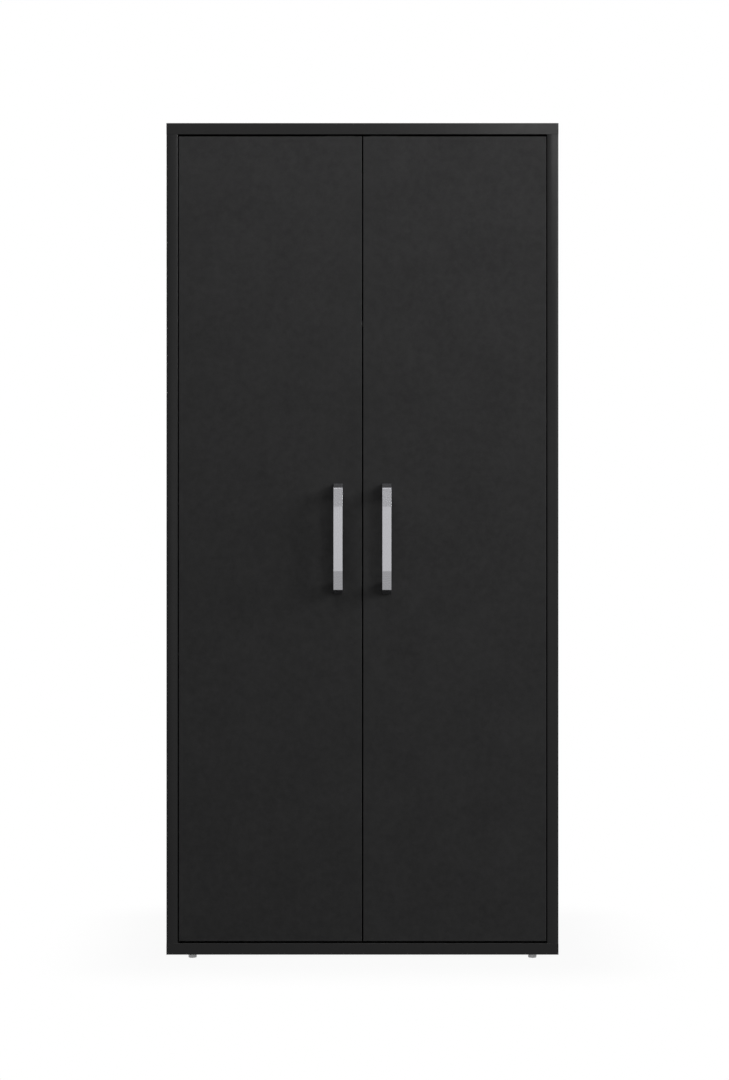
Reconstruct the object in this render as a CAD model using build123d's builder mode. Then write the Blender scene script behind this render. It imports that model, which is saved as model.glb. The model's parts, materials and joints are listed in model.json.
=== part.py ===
"""Two-door wardrobe with inset doors, hat shelf, clothes rail and shoe shelf.

Millimetres. +X is to the right, +Y to the back and +Z up. The origin is on the floor, under the
middle of the overall depth, handles included. Pieces of the left half that have a twin on the right
are made once and mirrored.
"""

import os
from math import cos, hypot, radians, sin, sqrt

from build123d import *

os.makedirs("parts", exist_ok=True)

# Carcass
overall_width = 876.0
overall_height = 1870.0
carcass_depth = 520.0
board = 25.0
edge_crown = 1.5
edge_round = 0.5
back_thickness = 3.0
back_margin = 2.0
strip_flange = 1.0
strip_width = 24.0
strip_web = 1.0

# Feet
foot_height = 12.0
foot_radius = 9.5
foot_round = 1.5
foot_from_side = 56.0
foot_from_edge = 35.0
foot_recess_radius = 4.5
foot_recess_depth = 5.0

# Doors
door_thickness = 18.0
door_recess = 1.0
door_round = 1.0
side_gap = 2.5
middle_gap = 3.0
top_gap = 4.8
bottom_gap = 4.8
opening_angle = 95.0

# Handles
handle_length = 247.0
handle_end_run = 10.0
handle_slope_run = 41.5
handle_projection = 32.0
handle_end_drop = 8.0
handle_bar = 9.0
handle_leg = 27.0
handle_width = 20.0
handle_round = 0.6
handle_inner_round = 6.0
handle_from_door_edge = 52.8
handle_screw_grip = 14.0

# Hinges
hinge_count = 4
hinge_from_door_end = 100.0
pivot_inset = 25.0
swing_clearance = 0.5
hinge_pin_radius = 1.6
knuckle_radius = 3.6
arm_height = 14.0
arm_sheet = 1.5
arm_neck = 5.0
arm_clearance = 1.0
arm_leg_height = 12.0
arm_leg_length = 55.0
cup_radius = 17.4
cup_wall = 1.0
cup_flange = 1.0
cup_rim = 2.1
cup_floor_clearance = 0.6
cup_side_clearance = 1.5
pin_end_cover = 0.25
cup_wing_length = 62.0
cup_wing_width = 18.0
cup_screw_spacing = 48.0
cup_screw_offset = 6.0
plate_thickness = 2.0
plate_screw_spacing = 32.0
plate_wing_length = 48.0
plate_wing_width = 15.0
plate_screw_back = 22.0

# Shelves and rail
shelf_thickness = 18.0
shelf_side_clearance = 1.0
shelf_back_clearance = 4.0
shelf_door_clearance = 6.0
hat_space = 320.0
shoe_space = 260.0
support_pin_radius = 2.5
support_pin_depth = 10.0
support_reach = 11.0
support_width = 12.0
support_flange_height = 10.0
support_sheet = 2.5
support_from_shelf_edge = 50.0
hole_pitch = 32.0
hole_rows_each_way = 2
rail_height = 30.0
rail_width = 15.0
rail_wall = 1.2
rail_drop = 55.0
socket_base = 2.0
socket_wall = 2.0
socket_depth = 14.0
socket_ear = 11.0

# Carcass fittings
cam_radius = 7.4
cam_from_end = 34.0
cam_past_bolt = 4.5
bolt_radius = 3.0
bolt_grip = 11.0
bolt_bore_radius = 4.0
dowel_radius = 4.0
dowel_length = 30.0
fitting_from_edge = 60.0
dowel_beside_bolt = 50.0
nail_radius = 0.8
nail_length = 18.0
nail_head_radius = 2.5
nail_head_height = 0.8
nail_spacing_up = 250.0
nail_spacing_across = 160.0

# Catches and wall brackets
catch_length = 46.0
catch_depth = 16.0
catch_height = 13.0
catch_ear = 9.0
catch_ear_thickness = 2.5
catch_from_door_edge = 48.0
catch_gap = 0.3
magnet_length = 38.0
magnet_depth = 9.0
magnet_height = 7.0
strike_length = 40.0
strike_height = 12.0
strike_thickness = 1.2
strike_below_door_top = 1.5
bracket_width = 20.0
bracket_leg = 32.0
bracket_sheet = 2.0
bracket_from_side = 60.0
bracket_screws_from_back = (16.0, 25.6)
wall_hole_radius = 2.75
wall_hole_drop = 20.0

# Screws
wood_screw_radius = 1.75
wood_screw_length = 15.0
wood_head_radius = 3.5
wood_head_height = 2.0
machine_screw_radius = 1.95
machine_head_radius = 4.0
machine_head_height = 2.4
recess_width = 0.9
recess_share = 1.2
recess_depth = 1.0

# Fits
screw_fit = 0.05
loose_fit = 0.3
running_fit = 0.05
cup_fit = 0.1
cam_fit = 0.1
depth_play = 0.5
seat_gap = 0.2


def across(y):
    """The upright plane at depth y: sketch right is +X, sketch up is +Z, and extrusions go to the front."""
    return Plane.XZ.offset(-y)


def save(piece, name):
    """Label a finished piece and write it to its own file."""
    piece.part.label = name
    export_step(piece.part, f"parts/{name}.step")


def evenly(first, last, spacing):
    """Places from first to last, both ends included, no further apart than spacing."""
    count = max(1, round((last - first) / spacing))
    return [first + (last - first) * i / count for i in range(count + 1)]


# Places worked out from the sizes above
half_width = overall_width / 2
inner_x = half_width - board
overall_depth = carcass_depth + handle_projection - door_recess + strip_flange
front_y = handle_projection - door_recess - overall_depth / 2
back_y = front_y + carcass_depth
board_back_y = back_y - back_thickness
floor_z = foot_height + board
roof_z = overall_height - board

door_front_y = front_y + door_recess
door_back_y = door_front_y + door_thickness
door_bottom_z = floor_z + bottom_gap
door_top_z = roof_z - top_gap
door_height = door_top_z - door_bottom_z
door_hinge_x = -inner_x + side_gap
door_free_x = -middle_gap / 2
door_width = door_free_x - door_hinge_x
door_middle_x = (door_hinge_x + door_free_x) / 2
door_middle_z = (door_bottom_z + door_top_z) / 2

# The pin stands where the front corner of the turning door just passes the side panel
pivot_depth = sqrt((pivot_inset + side_gap - swing_clearance) ** 2 - pivot_inset**2)
pivot_x = door_hinge_x + pivot_inset
pivot_y = door_front_y + pivot_depth
pivot_to_back = door_thickness - pivot_depth
swing_radius = hypot(pivot_inset, max(pivot_depth, pivot_to_back))
hinge_heights = [
    door_bottom_z + hinge_from_door_end + (door_height - 2 * hinge_from_door_end) * i / (hinge_count - 1)
    for i in range(hinge_count)
]

# The arm's neck passes the back corner of the fully open door
open_turn = radians(opening_angle)
neck_inner = pivot_to_back * sin(open_turn) - pivot_inset * cos(open_turn) + arm_clearance
neck_outer = neck_inner + arm_neck
bridge_front = swing_radius + arm_clearance
bridge_back = bridge_front + arm_neck
leg_inner = plate_thickness - pivot_inset - side_gap
leg_outer = leg_inner + arm_leg_height
leg_end = bridge_front + arm_leg_length
cup_inner_radius = cup_radius - cup_wall
cup_half_chord = sqrt(cup_inner_radius**2 - (arm_height / 2) ** 2)
cup_x = pivot_x + hypot(neck_outer, knuckle_radius) + cup_side_clearance - cup_half_chord
cup_depth = pivot_to_back + knuckle_radius + cup_floor_clearance + cup_wall
cup_screw_x = cup_x + cup_screw_offset
cup_screw_spots = [(cup_screw_x, z + s * cup_screw_spacing / 2) for z in hinge_heights for s in (-1, 1)]
cup_screw_depth = cup_depth - cup_wall
plate_screw_y = pivot_y + bridge_front + plate_screw_back
plate_screw_spots = [
    (plate_screw_y, z + s * plate_screw_spacing / 2) for z in hinge_heights for s in (-1, 1)
]
clamp_screw_y = pivot_y + leg_end - plate_wing_width / 2
adjust_screw_y = pivot_y + bridge_back + plate_wing_width / 2
arm_screw_spots = [(y, z) for z in hinge_heights for y in (adjust_screw_y, clamp_screw_y)]
arm_face_x = pivot_x + leg_outer
plate_face_x = plate_thickness - inner_x

handle_x = door_free_x - handle_from_door_edge
handle_screw_spots = [(handle_x, door_middle_z + s * (handle_length - handle_leg) / 2) for s in (-1, 1)]

shelf_front_y = pivot_y + swing_radius + shelf_door_clearance
shelf_back_y = board_back_y - strip_flange - shelf_back_clearance
hat_shelf_z = roof_z - hat_space - shelf_thickness
shoe_shelf_z = floor_z + shoe_space
support_rows = (shelf_front_y + support_from_shelf_edge, shelf_back_y - support_from_shelf_edge)
support_middle = support_flange_height / 2
support_steps = range(-hole_rows_each_way, hole_rows_each_way + 1)
support_holes = [
    (y, z - support_middle + step * hole_pitch)
    for z in (hat_shelf_z, shoe_shelf_z)
    for y in support_rows
    for step in support_steps
]
rail_y = (door_back_y + board_back_y) / 2
rail_z = hat_shelf_z - rail_drop
socket_screw_rise = rail_height / 2 + socket_wall + socket_ear / 2
socket_screw_spots = [(rail_y, rail_z + s * socket_screw_rise) for s in (-1, 1)]

fitting_x = half_width - board / 2
cam_depth = board / 2 + cam_past_bolt
cam_rows = (front_y + fitting_from_edge, board_back_y - fitting_from_edge)
cam_spots = [(y, z) for y in cam_rows for z in (floor_z + cam_from_end, roof_z - cam_from_end)]
bolt_end = cam_from_end - cam_radius / 2
dowel_rows = (cam_rows[0] + dowel_beside_bolt, cam_rows[1] - dowel_beside_bolt)
bolt_spots = [(side * fitting_x, y) for side in (-1, 1) for y in cam_rows]
dowel_spots = [(side * fitting_x, y) for side in (-1, 1) for y in dowel_rows]
nail_heights = evenly(floor_z + board, roof_z - board, nail_spacing_up)
side_nails = [(-fitting_x, z) for z in nail_heights]
nail_columns = evenly(-inner_x + board, -strip_width, nail_spacing_across)
top_nails = [(side * x, roof_z + board / 2) for x in nail_columns for side in (-1, 1)]
bottom_nails = [(side * x, floor_z - board / 2) for x in nail_columns for side in (-1, 1)]
all_nails = side_nails + [(-x, z) for x, z in side_nails] + top_nails + bottom_nails
nail_bite = nail_length - back_thickness

foot_x = half_width - foot_from_side
foot_rows = (front_y + foot_from_edge, back_y - foot_from_edge)
foot_spots = [(side * foot_x, y) for side in (-1, 1) for y in foot_rows]

catch_x = door_free_x - catch_from_door_edge
catch_front_y = door_back_y + strike_thickness + catch_gap
catch_middle_y = catch_front_y + catch_depth / 2
catch_ear_x = catch_length / 2 + catch_ear / 2
catch_screw_spots = [
    (side * (catch_x + end * catch_ear_x), catch_middle_y) for side in (-1, 1) for end in (-1, 1)
]
strike_z = door_top_z - strike_below_door_top - strike_height / 2
bracket_x = inner_x - bracket_from_side
bracket_screw_spots = [
    (side * bracket_x, board_back_y - inset) for side in (-1, 1) for inset in bracket_screws_from_back
]
wall_hole_z = roof_z - wall_hole_drop
recess_length = wood_head_radius * recess_share

# Top panel
with BuildPart() as top_panel:
    with BuildSketch(Plane.YZ.offset(-half_width)):
        with BuildLine():
            Polyline((front_y, roof_z), (board_back_y, roof_z), (board_back_y, overall_height),
                     (front_y, overall_height), close=True)
        make_face()
    extrude(amount=overall_width)
    fillet(top_panel.edges().filter_by(Axis.X).group_by(Axis.Y)[0], radius=edge_round)
    with BuildSketch(Plane.XY.offset(roof_z)):
        with Locations(*bolt_spots):
            Circle(bolt_radius + screw_fit)
    extrude(amount=bolt_grip + depth_play, mode=Mode.SUBTRACT)
    with BuildSketch(Plane.XY.offset(roof_z)):
        with Locations(*dowel_spots):
            Circle(dowel_radius + screw_fit)
    extrude(amount=dowel_length / 2 + depth_play, mode=Mode.SUBTRACT)
    with BuildSketch(Plane.XY.offset(roof_z)):
        with Locations(*catch_screw_spots, *bracket_screw_spots):
            Circle(wood_screw_radius + screw_fit)
    extrude(amount=wood_screw_length + depth_play, mode=Mode.SUBTRACT)
    with BuildSketch(across(board_back_y)):
        with Locations(*top_nails):
            Circle(nail_radius + screw_fit)
    extrude(amount=nail_bite + depth_play, mode=Mode.SUBTRACT)
save(top_panel, "top_panel")

# Bottom panel
with BuildPart() as bottom_panel:
    with BuildSketch(Plane.YZ.offset(-half_width)):
        with BuildLine():
            Polyline((front_y, foot_height), (board_back_y, foot_height), (board_back_y, floor_z),
                     (front_y, floor_z), close=True)
        make_face()
    extrude(amount=overall_width)
    fillet(bottom_panel.edges().filter_by(Axis.X).group_by(Axis.Y)[0], radius=edge_round)
    with BuildSketch(Plane.XY.offset(floor_z)):
        with Locations(*bolt_spots):
            Circle(bolt_radius + screw_fit)
    extrude(amount=-bolt_grip - depth_play, mode=Mode.SUBTRACT)
    with BuildSketch(Plane.XY.offset(floor_z)):
        with Locations(*dowel_spots):
            Circle(dowel_radius + screw_fit)
    extrude(amount=-dowel_length / 2 - depth_play, mode=Mode.SUBTRACT)
    with BuildSketch(Plane.XY.offset(foot_height)):
        with Locations(*foot_spots):
            Circle(wood_screw_radius + screw_fit)
    extrude(amount=wood_screw_length + depth_play, mode=Mode.SUBTRACT)
    with BuildSketch(across(board_back_y)):
        with Locations(*bottom_nails):
            Circle(nail_radius + screw_fit)
    extrude(amount=nail_bite + depth_play, mode=Mode.SUBTRACT)
save(bottom_panel, "bottom_panel")

# Side panels, with a gently crowned front edge
with BuildPart() as left_side_panel:
    with BuildSketch(Plane.XY.offset(floor_z)) as side_outline:
        with BuildLine():
            ThreePointArc((-half_width, front_y + edge_crown), (-fitting_x, front_y),
                          (-inner_x, front_y + edge_crown))
            Polyline((-inner_x, front_y + edge_crown), (-inner_x, board_back_y),
                     (-half_width, board_back_y), (-half_width, front_y + edge_crown))
        make_face()
        fillet(side_outline.vertices().group_by(Axis.Y)[0], radius=edge_round)
    extrude(amount=roof_z - floor_z)
    with BuildSketch(Plane.YZ.offset(-inner_x)):
        with Locations(*cam_spots):
            Circle(cam_radius + cam_fit)
    extrude(amount=-cam_depth - depth_play, mode=Mode.SUBTRACT)
    with BuildSketch(Plane.YZ.offset(-inner_x)):
        with Locations(*support_holes):
            Circle(support_pin_radius + screw_fit)
    extrude(amount=-support_pin_depth - depth_play, mode=Mode.SUBTRACT)
    with BuildSketch(Plane.YZ.offset(-inner_x)):
        with Locations(*plate_screw_spots, *socket_screw_spots):
            Circle(wood_screw_radius + screw_fit)
    extrude(amount=-wood_screw_length - depth_play, mode=Mode.SUBTRACT)
    for end_z, inward in ((floor_z, 1), (roof_z, -1)):
        with BuildSketch(Plane.XY.offset(end_z)):
            with Locations(*[(-fitting_x, y) for y in cam_rows]):
                Circle(bolt_bore_radius)
        extrude(amount=inward * cam_from_end, mode=Mode.SUBTRACT)
        with BuildSketch(Plane.XY.offset(end_z)):
            with Locations(*[(-fitting_x, y) for y in dowel_rows]):
                Circle(dowel_radius + screw_fit)
        extrude(amount=inward * (dowel_length / 2 + depth_play), mode=Mode.SUBTRACT)
    with BuildSketch(across(board_back_y)):
        with Locations(*side_nails):
            Circle(nail_radius + screw_fit)
    extrude(amount=nail_bite + depth_play, mode=Mode.SUBTRACT)
save(left_side_panel, "left_side_panel")

with BuildPart() as right_side_panel:
    mirror(left_side_panel.part, about=Plane.YZ)
save(right_side_panel, "right_side_panel")

# Back panel in two halves, on the rear edges of the boards
back_low_z = foot_height + back_margin
back_high_z = overall_height - back_margin
back_edge_x = half_width - back_margin
back_joint_x = strip_web / 2 + screw_fit
with BuildPart() as left_back_panel:
    with BuildSketch(across(back_y)):
        with Locations((-(back_edge_x + back_joint_x) / 2, (back_low_z + back_high_z) / 2)):
            Rectangle(back_edge_x - back_joint_x, back_high_z - back_low_z)
    extrude(amount=back_thickness)
    with BuildSketch(across(back_y)):
        with Locations(*[spot for spot in all_nails if spot[0] < 0]):
            Circle(nail_radius + screw_fit)
        with Locations((-bracket_x, wall_hole_z)):
            Circle(wall_hole_radius)
    extrude(amount=back_thickness, mode=Mode.SUBTRACT)
save(left_back_panel, "left_back_panel")

with BuildPart() as right_back_panel:
    mirror(left_back_panel.part, about=Plane.YZ)
save(right_back_panel, "right_back_panel")

# Joining strip with an H section, which clips over both halves of the back
with BuildPart() as back_joining_strip:
    with BuildSketch(Plane.XY.offset(floor_z + seat_gap)):
        with Locations((0, back_y - back_thickness / 2)):
            Rectangle(strip_web, back_thickness + 2 * strip_flange)
        with Locations((0, back_y + strip_flange / 2), (0, board_back_y - strip_flange / 2)):
            Rectangle(strip_width, strip_flange)
    extrude(amount=roof_z - floor_z - 2 * seat_gap)
save(back_joining_strip, "back_joining_strip")

with BuildPart() as back_nails:
    with BuildSketch(across(back_y)):
        with Locations(*all_nails):
            Circle(nail_radius)
    extrude(amount=nail_length)
    with BuildSketch(across(back_y)):
        with Locations(*all_nails):
            Circle(nail_head_radius)
    extrude(amount=-nail_head_height)
save(back_nails, "back_nails")

# Cam locks in the inner faces of the side panels, each with a cross slot and the bore for its bolt
with BuildPart() as cam_locks:
    with BuildSketch(Plane.YZ.offset(-inner_x)):
        with Locations(*cam_spots):
            Circle(cam_radius)
    extrude(amount=-cam_depth)
    with BuildSketch(Plane.YZ.offset(-inner_x)):
        with Locations(*cam_spots):
            Rectangle(cam_radius, recess_width)
            Rectangle(recess_width, cam_radius)
    extrude(amount=-recess_depth, mode=Mode.SUBTRACT)
    for end_z, inward in ((floor_z, 1), (roof_z, -1)):
        with BuildSketch(Plane.XY.offset(end_z)):
            with Locations(*[(-fitting_x, y) for y in cam_rows]):
                Circle(bolt_radius + screw_fit)
        extrude(amount=inward * (bolt_end + seat_gap), mode=Mode.SUBTRACT)
    mirror(about=Plane.YZ)
save(cam_locks, "cam_locks")

with BuildPart() as cam_bolts:
    for end_z, inward in ((floor_z, 1), (roof_z, -1)):
        with BuildSketch(Plane.XY.offset(end_z - inward * bolt_grip)):
            with Locations(*bolt_spots):
                Circle(bolt_radius)
        extrude(amount=inward * (bolt_grip + bolt_end))
save(cam_bolts, "cam_bolts")

with BuildPart() as dowels:
    for end_z in (floor_z, roof_z):
        with BuildSketch(Plane.XY.offset(end_z - dowel_length / 2)):
            with Locations(*dowel_spots):
                Circle(dowel_radius)
        extrude(amount=dowel_length)
save(dowels, "dowels")

# Foot glides, one under each corner, each held by a screw in its recess
for foot_name, (x, y) in zip(("front_left", "rear_left", "front_right", "rear_right"), foot_spots):
    with BuildPart() as foot:
        with BuildSketch():
            with Locations((x, y)):
                Circle(foot_radius)
        extrude(amount=foot_height)
        fillet(foot.edges().group_by(Axis.Z)[0], radius=foot_round)
        with BuildSketch():
            with Locations((x, y)):
                Circle(foot_recess_radius)
        extrude(amount=foot_recess_depth, mode=Mode.SUBTRACT)
        with BuildSketch():
            with Locations((x, y)):
                Circle(wood_screw_radius + screw_fit)
        extrude(amount=foot_height, mode=Mode.SUBTRACT)
    save(foot, f"{foot_name}_foot")

with BuildPart() as foot_screws:
    with BuildSketch(Plane.XY.offset(foot_recess_depth)):
        with Locations(*foot_spots):
            Circle(wood_screw_radius)
    extrude(amount=foot_height - foot_recess_depth + wood_screw_length)
    with BuildSketch(Plane.XY.offset(foot_recess_depth)):
        with Locations(*foot_spots):
            Circle(wood_head_radius)
    extrude(amount=-wood_head_height)
    with BuildSketch(Plane.XY.offset(foot_recess_depth - wood_head_height)):
        with Locations(*foot_spots):
            Rectangle(recess_length, recess_width)
            Rectangle(recess_width, recess_length)
    extrude(amount=recess_depth, mode=Mode.SUBTRACT)
save(foot_screws, "foot_screws")

# Shelves on supports in the drilled rows
shelf_width = 2 * (inner_x - shelf_side_clearance)
for shelf_name, shelf_z in (("hat_shelf", hat_shelf_z), ("shoe_shelf", shoe_shelf_z)):
    with BuildPart() as shelf:
        with BuildSketch(Plane.XY.offset(shelf_z)):
            with Locations((0, (shelf_front_y + shelf_back_y) / 2)):
                Rectangle(shelf_width, shelf_back_y - shelf_front_y)
        extrude(amount=shelf_thickness)
        fillet(shelf.edges().filter_by(Axis.X).group_by(Axis.Y)[0], radius=edge_round)
    save(shelf, shelf_name)
    with BuildPart() as supports:
        for side in (-1, 1):
            face_x = side * inner_x
            with BuildSketch(Plane.YZ.offset(face_x)):
                with Locations(*[(y, shelf_z - support_middle) for y in support_rows]):
                    Circle(support_pin_radius)
            extrude(amount=side * support_pin_depth)
            with BuildSketch(Plane.YZ.offset(face_x)):
                with Locations(*[(y, shelf_z - support_middle) for y in support_rows]):
                    Rectangle(support_width, support_flange_height)
            extrude(amount=-side * support_sheet)
            with BuildSketch(Plane.YZ.offset(face_x)):
                with Locations(*[(y, shelf_z - support_sheet / 2) for y in support_rows]):
                    Rectangle(support_width, support_sheet)
            extrude(amount=-side * support_reach)
    save(supports, f"{shelf_name}_supports")

# Clothes rail, an oval tube in two open sockets
with BuildPart() as clothes_rail:
    with BuildSketch(Plane.YZ.offset(-inner_x + socket_base + seat_gap)):
        with Locations((rail_y, rail_z)):
            SlotOverall(rail_height, rail_width, rotation=90)
            SlotOverall(rail_height - 2 * rail_wall, rail_width - 2 * rail_wall, rotation=90,
                        mode=Mode.SUBTRACT)
    extrude(amount=2 * (inner_x - socket_base - seat_gap))
save(clothes_rail, "clothes_rail")

socket_height = rail_height + 2 * (socket_wall + screw_fit)
socket_width = rail_width + 2 * (socket_wall + screw_fit)
with BuildPart() as left_rail_socket:
    with BuildSketch(Plane.YZ.offset(-inner_x)):
        with Locations((rail_y, rail_z)):
            SlotOverall(rail_height + 2 * (socket_wall + socket_ear), socket_width, rotation=90)
    extrude(amount=socket_base)
    with BuildSketch(Plane.YZ.offset(-inner_x)):
        with Locations((rail_y, rail_z)):
            SlotOverall(socket_height, socket_width, rotation=90)
    extrude(amount=socket_base + socket_depth)
    with BuildSketch(Plane.YZ.offset(-inner_x + socket_base)):
        with Locations((rail_y, rail_z)):
            SlotOverall(rail_height + 2 * screw_fit, rail_width + 2 * screw_fit, rotation=90)
        with Locations((rail_y, rail_z + socket_height / 2)):
            Rectangle(socket_width, socket_height)
    extrude(amount=socket_depth, mode=Mode.SUBTRACT)
    with BuildSketch(Plane.YZ.offset(-inner_x)):
        with Locations(*socket_screw_spots):
            Circle(wood_screw_radius + screw_fit)
    extrude(amount=socket_base, mode=Mode.SUBTRACT)
save(left_rail_socket, "left_rail_socket")

with BuildPart() as right_rail_socket:
    mirror(left_rail_socket.part, about=Plane.YZ)
save(right_rail_socket, "right_rail_socket")

with BuildPart() as socket_screws:
    with BuildSketch(Plane.YZ.offset(-inner_x + socket_base)):
        with Locations(*socket_screw_spots):
            Circle(wood_screw_radius)
    extrude(amount=-socket_base - wood_screw_length)
    with BuildSketch(Plane.YZ.offset(-inner_x + socket_base)):
        with Locations(*socket_screw_spots):
            Circle(wood_head_radius)
    extrude(amount=wood_head_height)
    with BuildSketch(Plane.YZ.offset(-inner_x + socket_base + wood_head_height)):
        with Locations(*socket_screw_spots):
            Rectangle(recess_length, recess_width)
            Rectangle(recess_width, recess_length)
    extrude(amount=-recess_depth, mode=Mode.SUBTRACT)
    mirror(about=Plane.YZ)
save(socket_screws, "socket_screws")

# Doors, bored for the hinge cups and drilled for the handle
with BuildPart() as left_door:
    with BuildSketch(across(door_front_y)):
        with Locations((door_middle_x, door_middle_z)):
            Rectangle(door_width, door_height)
    extrude(amount=-door_thickness)
    fillet(left_door.faces().sort_by(Axis.Y)[0].edges(), radius=door_round)
    with BuildSketch(across(door_back_y)):
        with Locations(*[(cup_x, z) for z in hinge_heights]):
            Circle(cup_radius + cup_fit)
    extrude(amount=cup_depth + seat_gap, mode=Mode.SUBTRACT)
    with BuildSketch(across(door_back_y)):
        with Locations(*cup_screw_spots):
            Circle(wood_screw_radius + screw_fit)
    extrude(amount=cup_screw_depth + seat_gap, mode=Mode.SUBTRACT)
    with BuildSketch(across(door_back_y)):
        with Locations((catch_x, strike_z)):
            Circle(wood_screw_radius + screw_fit)
    extrude(amount=cup_screw_depth + seat_gap, mode=Mode.SUBTRACT)
    with BuildSketch(across(door_back_y)):
        with Locations(*handle_screw_spots):
            Circle(machine_screw_radius + loose_fit)
    extrude(amount=door_thickness, mode=Mode.SUBTRACT)
save(left_door, "left_door")

with BuildPart() as right_door:
    mirror(left_door.part, about=Plane.YZ)
save(right_door, "right_door")

# Bow handles: a flat middle, two gently sloped ends and two steep legs
half_handle = handle_length / 2
half_front = half_handle - handle_end_run
half_flat = half_front - handle_slope_run
crest_y = door_front_y - handle_projection
shoulder_y = crest_y + handle_end_drop
inside_y = crest_y + handle_bar
inside_foot = half_handle - handle_leg
inside_shoulder = inside_foot - handle_end_run / 2
inside_drop = handle_end_drop * (inside_shoulder - half_flat) / handle_slope_run
before_corner = (half_flat + inside_shoulder) / 2
past_corner = (inside_shoulder + inside_foot) / 2
outer_half = [(door_front_y, half_handle), (shoulder_y, half_front), (crest_y, half_flat)]
inner_half = [(inside_y, half_flat), (inside_y + inside_drop, inside_shoulder), (door_front_y, inside_foot)]
outer_line = [(y, door_middle_z + z) for y, z in outer_half]
outer_line += [(y, door_middle_z - z) for y, z in reversed(outer_half)]
inner_line = [(y, door_middle_z - z) for y, z in reversed(inner_half)]
inner_line += [(y, door_middle_z + z) for y, z in inner_half]
with BuildPart() as left_handle:
    with BuildSketch(Plane.YZ.offset(handle_x - handle_width / 2)) as handle_outline:
        with BuildLine():
            Polyline(*outer_line, *inner_line, close=True)
        make_face()
        inside_corners = [
            corner
            for corner in handle_outline.vertices()
            if before_corner < abs(corner.Y - door_middle_z) < past_corner
        ]
        fillet(inside_corners, radius=handle_inner_round)
    extrude(amount=handle_width)
    on_door = left_handle.faces().sort_by(Axis.Y)[-2:].edges()
    long_edges = left_handle.faces().filter_by(Axis.X).edges() - on_door
    fillet(long_edges, radius=handle_round)
    with BuildSketch(across(door_front_y)):
        with Locations(*handle_screw_spots):
            Circle(machine_screw_radius + screw_fit)
    extrude(amount=handle_screw_grip + depth_play, mode=Mode.SUBTRACT)
save(left_handle, "left_handle")

with BuildPart() as right_handle:
    mirror(left_handle.part, about=Plane.YZ)
save(right_handle, "right_handle")

with BuildPart() as left_handle_screws:
    with BuildSketch(across(door_back_y)):
        with Locations(*handle_screw_spots):
            Circle(machine_screw_radius)
    extrude(amount=door_thickness + handle_screw_grip)
    with BuildSketch(across(door_back_y)):
        with Locations(*handle_screw_spots):
            Circle(machine_head_radius)
    extrude(amount=-machine_head_height)
    with BuildSketch(across(door_back_y + machine_head_height)):
        with Locations(*handle_screw_spots):
            Rectangle(recess_length, recess_width)
            Rectangle(recess_width, recess_length)
    extrude(amount=recess_depth, mode=Mode.SUBTRACT)
save(left_handle_screws, "left_handle_screws")

with BuildPart() as right_handle_screws:
    mirror(left_handle_screws.part, about=Plane.YZ)
save(right_handle_screws, "right_handle_screws")

# Hinge cups in the doors
cup_spots = [(cup_x, z) for z in hinge_heights]
with BuildPart() as left_hinge_cups:
    with BuildSketch(across(door_back_y)):
        with Locations(*cup_spots):
            Circle(cup_radius)
    extrude(amount=cup_depth)
    with BuildSketch(across(door_back_y)):
        with Locations(*cup_spots):
            Circle(cup_radius + cup_rim)
        with Locations(*[(cup_screw_x, z) for z in hinge_heights]):
            SlotOverall(cup_wing_length, cup_wing_width, rotation=90)
    extrude(amount=-cup_flange)
    with BuildSketch(across(door_back_y + cup_flange)):
        with Locations(*cup_spots):
            Circle(cup_inner_radius)
    extrude(amount=cup_flange + cup_depth - cup_wall, mode=Mode.SUBTRACT)
    with BuildSketch(across(door_back_y)):
        with Locations(*cup_screw_spots):
            Circle(wood_screw_radius + screw_fit)
    extrude(amount=-cup_flange, mode=Mode.SUBTRACT)
    for z in hinge_heights:
        with BuildSketch(Plane.XY.offset(z)):
            with Locations((pivot_x, pivot_y)):
                Circle(hinge_pin_radius + screw_fit)
        extrude(amount=cup_radius, both=True, mode=Mode.SUBTRACT)
save(left_hinge_cups, "left_hinge_cups")

with BuildPart() as right_hinge_cups:
    mirror(left_hinge_cups.part, about=Plane.YZ)
save(right_hinge_cups, "right_hinge_cups")

# Hinge pins, held in the walls of the cups
pin_offset = abs(cup_x - pivot_x) + hinge_pin_radius
pin_half_length = sqrt((cup_radius - pin_end_cover) ** 2 - pin_offset**2)
with BuildPart() as left_hinge_pins:
    for z in hinge_heights:
        with BuildSketch(Plane.XY.offset(z)):
            with Locations((pivot_x, pivot_y)):
                Circle(hinge_pin_radius)
        extrude(amount=pin_half_length, both=True)
save(left_hinge_pins, "left_hinge_pins")

with BuildPart() as right_hinge_pins:
    mirror(left_hinge_pins.part, about=Plane.YZ)
save(right_hinge_pins, "right_hinge_pins")

with BuildPart() as left_cup_screws:
    with BuildSketch(across(door_back_y + cup_flange)):
        with Locations(*cup_screw_spots):
            Circle(wood_screw_radius)
    extrude(amount=cup_flange + cup_screw_depth)
    with BuildSketch(across(door_back_y + cup_flange)):
        with Locations(*cup_screw_spots):
            Circle(wood_head_radius)
    extrude(amount=-wood_head_height)
    with BuildSketch(across(door_back_y + cup_flange + wood_head_height)):
        with Locations(*cup_screw_spots):
            Rectangle(recess_length, recess_width)
            Rectangle(recess_width, recess_length)
    extrude(amount=recess_depth, mode=Mode.SUBTRACT)
save(left_cup_screws, "left_cup_screws")

with BuildPart() as right_cup_screws:
    mirror(left_cup_screws.part, about=Plane.YZ)
save(right_cup_screws, "right_cup_screws")

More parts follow.
